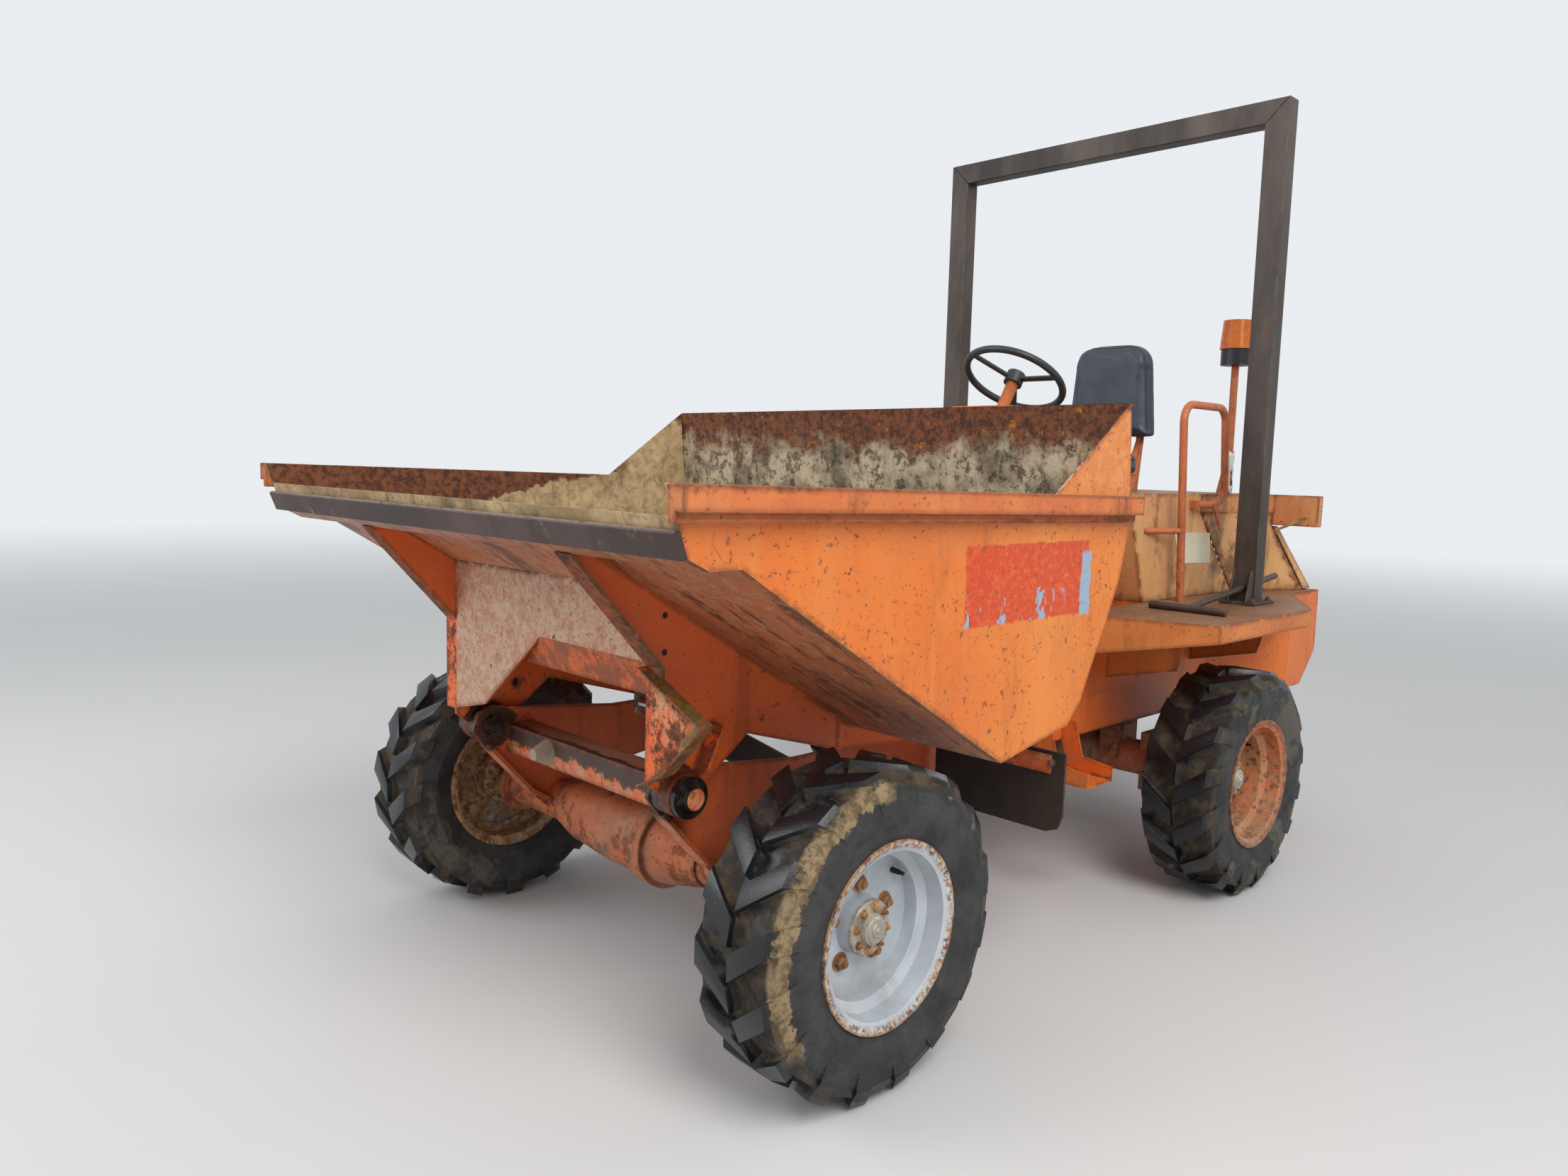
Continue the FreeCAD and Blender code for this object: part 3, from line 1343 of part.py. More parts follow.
def build_seat():
    """Cushion and backrest, rounded, on a boxed base with two struts behind."""
    gap = number("seatGap")
    half = number("seatHalf")
    back_x = number(rear("seatBackX"))
    thick = number("seatBackThick")
    rear_x = number(rear("cushionRearX"))
    cushion_thick = number("cushionThick")
    cushion = Part.makeBox(
        number(rear("cushionFrontX")) - rear_x, 2 * half, cushion_thick, VECTOR(rear_x, -half, number("cushionZ"))
    )
    cushion = rounded(cushion, 0.3 * cushion_thick, lambda edge: True)
    keep("seat_cushion", shaped("seat_cushion_solid", cushion))
    top_half = half - number("seatTaper")
    low = number("seatBackLowZ")
    top = number("seatTopZ")
    start = back_x - thick / 2 - gap
    outline_points = [(half, low), (top_half, top), (-top_half, top), (-half, low)]
    corners = [VECTOR(start, y, z) for y, z in outline_points]
    back = Part.Face(Part.makePolygon(corners + [corners[0]])).extrude(VECTOR(thick, 0, 0))
    high = top - low
    across = [edge for edge in back.Edges if edge.BoundBox.XLength > thick / 2]
    upper = [edge for edge in across if edge.BoundBox.ZMin > low + high / 2]
    back = back.makeFillet(min(0.24 * high, 0.6 * top_half), upper)
    back = rounded(back, thick / 4, lambda edge: edge.BoundBox.XLength < 0.1)
    keep("seat_backrest", shaped("seat_backrest_solid", back))
    base = box(
        "seat_base_box",
        (rear("seatBackX + 30"), rear("cushionFrontX - 40")),
        ("-seatHalf + 40", "seatHalf - 40"),
        ("capZ", "cushionZ - seatGap"),
    )
    strut_x = "seatBackX - seatBackThick / 2"
    post_points = [
        (rear("seatBackX + 30"), "capZ"),
        (rear("seatBackX + 30"), "cushionZ - seatGap"),
        (rear(strut_x + " - 2 * seatGap"), "seatBackLowZ - 12"),
        (rear(strut_x + " - 2 * seatGap"), "seatTopZ - 90"),
        (rear(strut_x + " - 14"), "seatTopZ - 90"),
        (rear(strut_x + " - 14"), "seatBackLowZ + 20"),
        (rear("seatBackX - 20"), "capZ"),
    ]
    post = plate("seat_post", "XZ", post_points, "strutY", "strutY + strutWide")
    keep("seat_frame", fuse("seat_frame_solid", [base, both_sides("seat_posts", post)]))


def tail_trapezoid(name, inset):
    """The tail cover's outline from behind, narrowing from the deck to the cross bar."""
    points = [
        ("hoodTailHalf - (%s)" % inset, "deckZ"),
        ("hoodFlareHalf - (%s)" % inset, "barLowZ"),
        ("-hoodFlareHalf + (%s)" % inset, "barLowZ"),
        ("-hoodTailHalf + (%s)" % inset, "deckZ"),
    ]
    return plate(name, "YZ", points, rear("bodyRearX - 1"), rear("hoodFlareX + 20"))


def hood_side():
    """The left side sheet: ruled from the slanted seam to its rear edge beside the tail cover."""
    sheet_thick = number("capSheet")

    def edge_wire(low, high):
        """One end of the sheet from its lower and upper outer corners."""
        corners = [VECTOR(number(rear(x)), number(y), number(z)) for x, y, z in (low, high)]
        inner = [corner - VECTOR(0, sheet_thick, 0) for corner in corners]
        return Part.makePolygon([corners[0], corners[1], inner[1], inner[0], corners[0]])

    skirt_z = "capZ - capFlange"
    seam = edge_wire(("seamLowX - seamGap", "bodyHalf", "deckZ"), ("seamTopX - seamGap", "bodyHalf", skirt_z))
    back = edge_wire(
        ("bodyRearX + tailReturn + tailGap", "hoodTailHalf", "deckZ"), ("hoodFlareX", "hoodFlareHalf", skirt_z)
    )
    sheet_part = shaped("hood_side_sheet", Part.makeLoft([seam, back], True, True))
    behind_points = [
        (rear("hoodFlareX"), "capZ"),
        (rear("hoodFlareX"), "barLowZ"),
        (rear("hoodFlareX + tailGap"), "barLowZ - tailGap"),
        (rear("bodyRearX + tailReturn + tailGap"), "deckZ"),
        (rear("bodyRearX"), "deckZ"),
        (rear("bodyRearX"), "capZ"),
    ]
    behind = plate("hood_side_behind", "XZ", behind_points, "0", "barHalf")
    return cut("hood_side", sheet_part, behind)


def build_hood():
    """The seat box, the flaring hood behind it, the hinged tail cover and the engine inside."""
    front_points = [
        (rear("hoodFrontX"), "capZ"),
        (rear("hoodFootX"), "deckZ"),
        (rear("seamLowX"), "deckZ"),
        (rear("seamTopX"), "capZ - capFlange"),
        (rear("seamTopX"), "capZ"),
    ]
    inner_points = [
        (rear("hoodFrontX - 1.2 * capSheet"), "capZ - capSheet"),
        (rear("hoodFootX - 1.2 * capSheet"), "deckZ - 1"),
        (rear("seamLowX - 20"), "deckZ - 1"),
        (rear("seamTopX - 20"), "capZ - capFlange - 1"),
        (rear("seamTopX - 20"), "capZ - capSheet"),
    ]
    outer = plate("seat_box_outer", "XZ", front_points, "-bodyHalf", "bodyHalf")
    inner = plate("seat_box_inner", "XZ", inner_points, "-bodyHalf + capSheet", "bodyHalf - capSheet")
    keep("seat_box", cut("seat_box_solid", outer, inner))
    # Rear hood: a flaring cap with a skirt, side panels under it and a cross bar behind.
    cap = [
        (rear("seamTopX"), "bodyHalf"),
        (rear("hoodFlareX"), "hoodFlareHalf"),
        (rear("hoodFlareX"), "-hoodFlareHalf"),
        (rear("seamTopX"), "-bodyHalf"),
    ]
    cap_inner = [
        (rear("seamTopX + 10"), "bodyHalf - capSheet"),
        (rear("hoodFlareX - 10"), "hoodFlareHalf - capSheet"),
        (rear("hoodFlareX - 10"), "-hoodFlareHalf + capSheet"),
        (rear("seamTopX + 10"), "-bodyHalf + capSheet"),
    ]
    cap_outer = plate("cap_outer", "XY", cap, "capZ - capFlange", "capZ")
    cap_space = plate("cap_space", "XY", cap_inner, "capZ - capFlange - 1", "capZ - capSheet")
    bar = box(
        "cross_bar",
        (rear("hoodFlareX - barDeep"), rear("hoodFlareX")),
        ("-barHalf", "barHalf"),
        ("barLowZ", "capZ"),
    )
    keep("hood_cap", fuse("hood_cap_solid", [cut("cap_shell", cap_outer, cap_space), bar]))
    keep("hood_sides", both_sides("hood_sides", hood_side()))
    # Tail cover: a sloping panel with side returns and cooling slots, hinged at its foot.
    tail_outer = [
        (rear("hoodFlareX - barDeep - tailGap"), "barLowZ - tailGap"),
        (rear("bodyRearX"), "deckZ + tailGap"),
        (rear("bodyRearX + tailReturn"), "deckZ + tailGap"),
        (rear("hoodFlareX - tailGap"), "barLowZ - tailGap"),
    ]
    wedge = plate("tail_wedge", "XZ", tail_outer, "-hoodTailHalf", "hoodTailHalf")
    tail_inner = [
        (rear("hoodFlareX - barDeep - tailGap + tailSheet * 1.3"), "barLowZ"),
        (rear("bodyRearX + tailSheet * 1.3"), "deckZ"),
        (rear("bodyRearX + tailReturn + 20"), "deckZ"),
        (rear("hoodFlareX + 20"), "barLowZ"),
    ]
    tail_space = plate("tail_space", "XZ", tail_inner, "-hoodTailHalf", "hoodTailHalf")
    tail = cut(
        "tail_shell",
        shared("tail_outer", [wedge, tail_trapezoid("tail_outline", "0")]),
        shared("tail_inner", [tail_space, tail_trapezoid("tail_inline", "tailSheet")]),
    )
    slots = []
    for i in range(6):
        z = "deckZ + tailSlotLow + %d * tailSlotPitch" % i
        slots.append(box("tail_slot_%d" % i, (rear("bodyRearX - 10"), rear("hoodFlareX - 60")),
                         ("-tailSlotHalf", "tailSlotHalf"), (z, z + " + tailSlotHigh")))
    hinge_x = rear("bodyRearX + tailHingeX")
    hinge_z = "deckZ + tailHingeZ"
    low = "tailHingeY - tailHingeLong / 2"
    notch = box(
        "tail_notch",
        (rear("bodyRearX - 20"), rear("bodyRearX + 60")),
        (low + " - tailLugWide - 2 * tailGap", low + " + tailHingeLong + tailLugWide + 2 * tailGap"),
        ("deckZ", hinge_z + " + tailHingeRadius + tailGap"),
    )
    notches = both_sides("tail_notches", notch)
    barrel = cylinder("tail_barrel", "y", (hinge_x, low, hinge_z), "tailHingeLong", "tailHingeRadius")
    strap_points = [
        (rear("bodyRearX + tailHingeX - 4"), hinge_z),
        (rear("bodyRearX + tailHingeX + 6"), hinge_z),
        (rear("bodyRearX + tailHingeX + 44"), hinge_z + " + 36"),
        (rear("bodyRearX + tailHingeX + 34"), hinge_z + " + 38"),
    ]
    strap = plate("tail_strap", "XZ", strap_points, low, low + " + tailHingeLong")
    bore = cylinder("tail_bore", "y", (hinge_x, low + " - 1", hinge_z), "tailHingeLong + 2", "tailPinRadius + pinGap")
    hinge = cut("tail_hinge", fuse("tail_hinge_parts", [barrel, strap]), bore)
    tail_open = cut("tail_open", tail, fuse("tail_tools", slots + [notches]))
    keep("tail_cover", fuse("tail_cover_solid", [tail_open, both_sides("tail_hinges", hinge)]))
    engine = box(
        "engine_box",
        (rear("hoodFootX - 140 - engineLong"), rear("hoodFootX - 140")),
        ("-engineHalf", "engineHalf"),
        ("engineLowZ", "engineLowZ + engineHigh"),
    )
    bell = box(
        "bell_housing",
        (rear("hoodFootX - 150"), rear("gearboxRearX + 10")),
        ("-engineHalf / 2", "engineHalf / 2"),
        ("railLowZ + 40", "floorZ - 10"),
    )
    gears = box(
        "gearbox",
        (rear("gearboxRearX"), rear("gearboxFrontX")),
        ("-gearboxHalf", "gearboxHalf"),
        ("gearboxLowZ", "floorZ - 10"),
    )
    keep("engine_block", fuse("engine_solid", [engine, bell, gears]))
    ahead = cylinder(
        "front_shaft", "x", (rear("gearboxFrontX"), "pinionY", "pinionZ"),
        front("-casingRadius - 60") + " - " + rear("gearboxFrontX"), "shaftRadius",
    )
    behind = cylinder(
        "rear_shaft", "x", (rear("20 + casingRadius"), "pinionY", "pinionZ"),
        "gearboxRearX - 20 - casingRadius", "shaftRadius",
    )
    keep("propshafts", fuse("propshaft_pair", [ahead, behind]))


def build_rops():
    half = number("ropsHalf")
    tube_side = number("ropsTube")
    deep = number("ropsDeep")
    wall = number("ropsWall")
    top = number("ropsTopZ")
    foot = number("deckZ + footPlate")
    x = number(rear("ropsFrontX")) - deep

    def bar(points, offset):
        """A mitred square tube from its four outline corners in the Y and Z plane."""
        corners = [VECTOR(x + offset, y, z) for y, z in points]
        face = Part.Face(Part.makePolygon(corners + [corners[0]]))
        return face.extrude(VECTOR(deep - 2 * offset, 0, 0))

    post = bar([(half, foot), (half, top), (half - tube_side, top - tube_side), (half - tube_side, foot)], 0)
    bore = bar([
        (half - wall, foot), (half - wall, top - wall),
        (half - tube_side + wall, top - tube_side + wall), (half - tube_side + wall, foot),
    ], wall)
    base = Part.makeBox(
        number("footLong"), number("footWide"), number("footPlate"),
        VECTOR(x + deep / 2 - number("footLong") / 2, half - tube_side / 2 - number("footWide") / 2, number("deckZ")),
    )
    # The locking rod slopes back through the post's foot from a T handle that lies on the deck.
    radius = number("lockRadius")
    middle_y = half - tube_side / 2
    grip_radius = radius + 2
    grip = VECTOR(number(rear("lockHandleX")), middle_y, number("deckZ + seatGap") + grip_radius)
    rod_end = VECTOR(number(rear("lockEndX")), middle_y, number("deckZ + lockRise"))
    lock_hole = Part.makeCylinder(radius + 1, (rod_end - grip).Length, grip, rod_end - grip)
    foot_gussets = []
    gusset_thick = number("footGusset")
    face_x = x + deep
    gusset_corners = [
        (face_x - wall, foot), (face_x + number("footGussetLong"), foot),
        (face_x + 2 * gusset_thick, foot + number("footGussetHigh")), (face_x - wall, foot + number("footGussetHigh")),
    ]
    for sign in (-1, 1):
        y = middle_y + sign * number("footGussetOut") - gusset_thick / 2
        corners = [VECTOR(a, y, b) for a, b in gusset_corners]
        face = Part.Face(Part.makePolygon(corners + [corners[0]]))
        foot_gussets.append(face.extrude(VECTOR(0, gusset_thick, 0)))
    post = post.cut(bore).fuse([base] + foot_gussets).cut(lock_hole)
    left = shaped("rops_post_solid", post)
    keep("rops_post_left", left)
    keep("rops_post_right", mirrored("rops_post_mirror", left))
    beam = bar([(half, top), (-half, top), (-half + tube_side, top - tube_side), (half - tube_side, top - tube_side)], 0)
    beam_bore = bar([
        (half - wall, top - wall), (-half + wall, top - wall),
        (-half + tube_side - wall, top - tube_side + wall), (half - tube_side + wall, top - tube_side + wall),
    ], wall)
    keep("rops_beam", shaped("rops_beam_solid", beam.cut(beam_bore)))
    rod = Part.makeCylinder(radius, (rod_end - grip).Length, grip, rod_end - grip)
    grip_long = number("lockHandleLong")
    handle = Part.makeCylinder(grip_radius, grip_long, grip - VECTOR(0, grip_long / 2, 0), VECTOR(0, 1, 0))
    keep("rops_lock_bar", shaped("rops_lock_solid", rod.fuse(handle)))


def build_trim():
    """Grab handle, beacon, mud flaps and steps."""
    radius = number("handleRadius")
    y = number("handleY")
    foot_x = number(rear("handleFootX"))
    lean = number("handleLean")
    top_z = number("handleTopZ")
    deck = number("deckZ")
    side_y = number("bodyHalf")
    end_x = number(rear("handleEndX"))
    end_z = number("capZ - handleDrop")
    path = [
        VECTOR(foot_x, y, deck - radius),
        VECTOR(foot_x + lean, y, top_z),
        VECTOR(number(rear("handleBackX")), y, top_z),
        VECTOR(number(rear("handleCurlX")), y, end_z),
        VECTOR(end_x, side_y + radius, end_z),
    ]
    hoop = tube(path, number("handleBend"), radius)
    stub_rise = number("handleStubRise")
    stub_start = VECTOR(foot_x + lean * stub_rise / (top_z - deck), y, deck + stub_rise)
    stub_end = VECTOR(number(rear("handleStubX")), side_y, deck + stub_rise)
    stub_run = stub_end - stub_start
    stub = Part.makeCylinder(radius * 0.8, stub_run.Length + radius, stub_start, stub_run)
    lug_size = number("handleLug")
    lug = Part.makeBox(
        lug_size, 2 * radius, lug_size, VECTOR(end_x - lug_size / 2, side_y, end_z - lug_size / 2)
    )
    room = 4 * radius
    below = Part.makeBox(2 * room, 2 * room, room, VECTOR(foot_x - room, y - room, deck - room))
    inside = Part.makeBox(
        stub_run.Length, room, 2 * room, VECTOR(stub_end.x - stub_run.Length / 2, side_y - room, stub_end.z - room)
    )
    handle = hoop.fuse([stub, lug]).cut(below).cut(inside)
    keep("grab_handle", shaped("grab_handle_solid", handle))
    pole = cylinder("beacon_pole_bar", "z", (rear("beaconX"), "beaconY", "capZ"), "beaconFootZ - capZ", "poleRadius")
    gusset_points = [
        (rear("beaconX"), "capZ"),
        (rear("beaconX + poleGusset"), "capZ"),
        (rear("beaconX + poleRadius"), "capZ + poleGussetHigh"),
        (rear("beaconX"), "capZ + poleGussetHigh"),
    ]
    gusset = plate("beacon_gusset", "XZ", gusset_points, "beaconY - 3", "beaconY + 3")
    seat = cylinder("beacon_foot", "z", (rear("beaconX"), "beaconY", "beaconFootZ"), "beaconHigh * 0.36",
                    "beaconRadius * 0.9")
    lens = document.addObject("Part::Cone", "beacon_lens")
    bind(lens, Radius1="beaconRadius", Radius2="beaconRadius * 0.86", Height="beaconHigh * 0.64")
    bind(lens, Placement__Base__x=rear("beaconX"), Placement__Base__y="beaconY",
         Placement__Base__z="beaconFootZ + beaconHigh * 0.36")
    keep("beacon_pole", fuse("beacon_pole_solid", [pole, gusset, seat]))
    keep("beacon_lens", lens)
    flap_points = [
        ("flapIn", "flapTopZ"),
        ("flapOut", "flapTopZ"),
        ("flapOut", "flapLowZ + 50"),
        ("flapOut - 14", "flapLowZ + 14"),
        ("flapOut - 50", "flapLowZ"),
        ("flapIn + 50", "flapLowZ"),
        ("flapIn + 14", "flapLowZ + 14"),
        ("flapIn", "flapLowZ + 50"),
    ]
    flap = plate("flap_sheet", "YZ", flap_points, front("flapX"), front("flapX + flapThick"))
    keep("mud_flaps", both_sides("mud_flaps", flap))
    tread = box(
        "step_tread",
        (rear("stepX"), rear("stepX + stepDeep")),
        ("bodyHalf + 30", "stepOut"),
        ("stepZ", "stepZ + 6"),
    )
    side_points = [
        ("bodyHalf + 30", "stepZ"),
        ("stepOut", "stepZ"),
        ("stepOut", "stepZ + 46"),
        ("bodyHalf + 80", "stepZ + 60"),
        ("bodyHalf + 50", "bodyLowZ + 70"),
        ("bodyHalf", "bodyLowZ + 70"),
        ("bodyHalf", "bodyLowZ"),
    ]
    hanger_one = plate("step_hanger_front", "YZ", side_points, rear("stepX + stepDeep - 6"), rear("stepX + stepDeep"))
    hanger_two = plate("step_hanger_rear", "YZ", side_points, rear("stepX"), rear("stepX + 6"))
    step = fuse("step_solid", [tread, hanger_one, hanger_two])
    keep("steps", both_sides("steps", step))


build_skip()
build_skip_rims()
build_lip_bar()
build_underframe()
build_hinge_pins()
build_ram()
build_front_frame()
build_front_axle()
build_rear_axle()
build_knuckles()
build_wheels()
build_rear_body()
build_operator_place()
build_seat()
build_hood()
build_rops()
build_trim()

document.recompute()
for item in document.Objects:
    if "Invalid" in item.State or "Error" in item.State:
        raise RuntimeError("failed object: " + item.Label)
for item in pieces:
    if item.Shape.isNull() or not item.Shape.isValid():
        raise RuntimeError("bad shape: " + item.Label)

os.makedirs("parts", exist_ok=True)
for item in pieces:
    item.Shape.exportStep(os.path.join("parts", item.Label + ".step"))
whole_box = FreeCAD.BoundBox()
for item in pieces:
    whole_box.add(item.Shape.BoundBox)
print(len(pieces), "pieces", whole_box)
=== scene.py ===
"""Looks for the site dumper: paint, rust, tyres, seat, fasteners, light and camera."""
import math

import bmesh
import bpy
from mathutils import Matrix, Vector
from mathutils.bvhtree import BVHTree


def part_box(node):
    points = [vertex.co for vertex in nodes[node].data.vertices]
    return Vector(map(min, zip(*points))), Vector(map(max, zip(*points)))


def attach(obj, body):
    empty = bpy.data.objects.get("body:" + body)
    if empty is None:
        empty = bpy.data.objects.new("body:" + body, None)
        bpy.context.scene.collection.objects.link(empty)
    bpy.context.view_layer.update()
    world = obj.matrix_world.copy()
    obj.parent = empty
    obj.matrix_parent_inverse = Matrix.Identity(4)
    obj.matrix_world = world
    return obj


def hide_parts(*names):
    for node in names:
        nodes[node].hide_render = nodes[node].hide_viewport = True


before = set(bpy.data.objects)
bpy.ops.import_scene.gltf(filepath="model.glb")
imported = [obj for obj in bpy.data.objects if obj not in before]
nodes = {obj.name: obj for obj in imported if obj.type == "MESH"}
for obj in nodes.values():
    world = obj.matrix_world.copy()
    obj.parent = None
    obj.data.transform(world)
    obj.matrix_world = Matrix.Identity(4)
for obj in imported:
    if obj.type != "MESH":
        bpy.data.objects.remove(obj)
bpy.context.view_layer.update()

# The photograph's camera, in the row frame
CAMERA_PLACE = (2.981, 2.419, 1.407)
CAMERA_TURN = (83.65, -1.51, 136.14)
LENS_MM = 25.68
HORIZON = (0.82, 0.85, 0.88, 1)
SENSOR_MM = 36.0

# Driving places, read from the frame
TYRE_LOW, TYRE_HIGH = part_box("tyre_front_left")
TYRE_RADIUS = (TYRE_HIGH.z - TYRE_LOW.z) / 2
FRONT_X = (TYRE_LOW.x + TYRE_HIGH.x) / 2
REAR_X = sum(corner.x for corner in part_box("tyre_rear_left")) / 2
AXLE_Z = TYRE_RADIUS
TRACK_Y = (TYRE_LOW.y + TYRE_HIGH.y) / 2
RIM_RADIUS = (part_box("rim_front_left")[1].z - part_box("rim_front_left")[0].z) / 2
SKIP_LOW, SKIP_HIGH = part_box("skip_sides")
PIN_LOW, PIN_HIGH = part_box("hinge_pins")
PIN_X = (PIN_LOW.x + PIN_HIGH.x) / 2
PIN_Z = (PIN_LOW.z + PIN_HIGH.z) / 2


def colour(red, green, blue):
    """A screen colour from 0 to 255 as Blender's linear colour."""
    def linear(value):
        share = value / 255
        return share / 12.92 if share <= 0.04045 else ((share + 0.055) / 1.055) ** 2.4
    return (linear(red), linear(green), linear(blue), 1.0)


def tinted(tone, by, plus=0.0):
    """A colour made lighter or darker."""
    return [min(1.0, part * by + plus) for part in tone[:3]] + [1.0]


class Look:
    """A material's nodes, built by short calls that each give a socket."""

    def __init__(self, name, rough=0.5, metal=0.0):
        self.material = bpy.data.materials.new(name)
        self.material.use_nodes = True
        self.nodes = self.material.node_tree.nodes
        self.links = self.material.node_tree.links
        self.shader = self.nodes["Principled BSDF"]
        self.shader.inputs["Roughness"].default_value = rough
        self.shader.inputs["Metallic"].default_value = metal
        self.place = self.nodes.new("ShaderNodeTexCoord").outputs["Object"]
        self.normal = self.nodes.new("ShaderNodeNewGeometry").outputs["True Normal"]
        self.axes = self.split(self.place)
        turned = self.nodes.new("ShaderNodeVectorTransform")
        turned.vector_type = "NORMAL"
        turned.convert_from = "WORLD"
        turned.convert_to = "OBJECT"
        self.links.new(self.normal, turned.inputs[0])
        self.facing = self.split(turned.outputs[0])

    def put(self, source, socket):
        if isinstance(source, bpy.types.NodeSocket):
            self.links.new(source, socket)
        else:
            socket.default_value = source

    def split(self, vector):
        node = self.nodes.new("ShaderNodeSeparateXYZ")
        self.put(vector, node.inputs[0])
        return node.outputs

    def stretch(self, by):
        """The place with its axes scaled, for grain that runs one way."""
        node = self.nodes.new("ShaderNodeVectorMath")
        node.operation = "MULTIPLY"
        self.put(self.place, node.inputs[0])
        node.inputs[1].default_value = by
        return node.outputs[0]

    def noise(self, scale, detail=5.0, rough=0.6, by=None, distort=0.0):
        node = self.nodes.new("ShaderNodeTexNoise")
        self.put(self.stretch(by) if by else self.place, node.inputs["Vector"])
        node.inputs["Scale"].default_value = scale
        node.inputs["Detail"].default_value = detail
        node.inputs["Roughness"].default_value = rough
        node.inputs["Distortion"].default_value = distort
        return node.outputs["Fac"]

    def blots(self, scale, low, high, detail=6.0, rough=0.68, by=None):
        """Patches of one where the noise is over high, with edges as soft as high less low."""
        return self.step(self.noise(scale, detail, rough, by), low, high)

    def cracks(self, scale, by=None):
        """Distance to the nearest edge between cells: low along thin lines."""
        node = self.nodes.new("ShaderNodeTexVoronoi")
        node.feature = "DISTANCE_TO_EDGE"
        self.put(self.stretch(by) if by else self.place, node.inputs["Vector"])
        node.inputs["Scale"].default_value = scale
        return node.outputs["Distance"]

    def step(self, value, low, high, start=0.0, end=1.0):
        """Start below low, end above high, and a smooth change between."""
        node = self.nodes.new("ShaderNodeMapRange")
        node.interpolation_type = "SMOOTHSTEP"
        self.put(value, node.inputs["Value"])
        for name, number in (("From Min", low), ("From Max", high), ("To Min", start), ("To Max", end)):
            node.inputs[name].default_value = number
        return node.outputs["Result"]

    def sum(self, operation, first, second=0.0, clamp=False):
        node = self.nodes.new("ShaderNodeMath")
        node.operation = operation
        node.use_clamp = clamp
        self.put(first, node.inputs[0])
        self.put(second, node.inputs[1])
        return node.outputs[0]

    def line(self, *terms, start=0.0):
        """The sum of sockets times their factors."""
        total = start
        for socket, factor in terms:
            total = self.sum("ADD", self.sum("MULTIPLY", socket, factor), total)
        return total

    def both(self, *masks):
        """The product of masks."""
        result = masks[0]
        for mask in masks[1:]:
            result = self.sum("MULTIPLY", result, mask)
        return result

    def most(self, *masks):
        """The greatest of masks."""
        result = masks[0]
        for mask in masks[1:]:
            result = self.sum("MAXIMUM", result, mask)
        return result

    def mix(self, share, first, second):
        node = self.nodes.new("ShaderNodeMix")
        node.data_type = "RGBA"
        self.put(share, node.inputs[0])
        self.put(first, node.inputs[6])
        self.put(second, node.inputs[7])
        return node.outputs[2]

    def edges(self, radius, low=0.02, high=0.25):
        """Near one on the object's outer corners and in its folds, and near zero on its flats."""
        bevel = self.nodes.new("ShaderNodeBevel")
        bevel.samples = 4
        bevel.inputs["Radius"].default_value = radius
        dot = self.nodes.new("ShaderNodeVectorMath")
        dot.operation = "DOT_PRODUCT"
        self.put(bevel.outputs[0], dot.inputs[0])
        self.put(self.normal, dot.inputs[1])
        return self.step(self.sum("SUBTRACT", 1.0, dot.outputs["Value"]), low, high)

    def from_axis(self, centre_x, centre_z):
        """The distance from a line along y."""
        across = self.sum("SUBTRACT", self.axes[0], centre_x)
        up = self.sum("SUBTRACT", self.axes[2], centre_z)
        square = self.sum("ADD", self.sum("MULTIPLY", across, across), self.sum("MULTIPLY", up, up))
        return self.sum("SQRT", square), across, up

    def bump(self, height, strength=0.3, distance=0.002):
        node = self.nodes.new("ShaderNodeBump")
        node.inputs["Strength"].default_value = strength
        node.inputs["Distance"].default_value = distance
        self.put(height, node.inputs["Height"])
        self.put(node.outputs[0], self.shader.inputs["Normal"])

    def finish(self, base, rough=None):
        self.put(base, self.shader.inputs["Base Color"])
        if rough is not None:
            self.put(rough, self.shader.inputs["Roughness"])
        return self.material


RUST_DARK = colour(64, 36, 28)
RUST_RED = colour(118, 56, 34)
RUST_PALE = colour(156, 88, 50)
CEMENT = colour(182, 158, 130)
GREASE = colour(24, 21, 20)
DECK_BROWN = colour(134, 98, 70)
MOSS = colour(104, 104, 46)


def rust(look, scale=14.0):
    """Red-brown rust that varies from dark to pale."""
    wide = look.blots(scale * 0.3, 0.35, 0.65)
    fine = look.blots(scale * 3, 0.4, 0.62, 8, 0.7)
    return look.mix(look.both(fine, 0.7), look.mix(wide, RUST_DARK, RUST_RED), RUST_PALE)


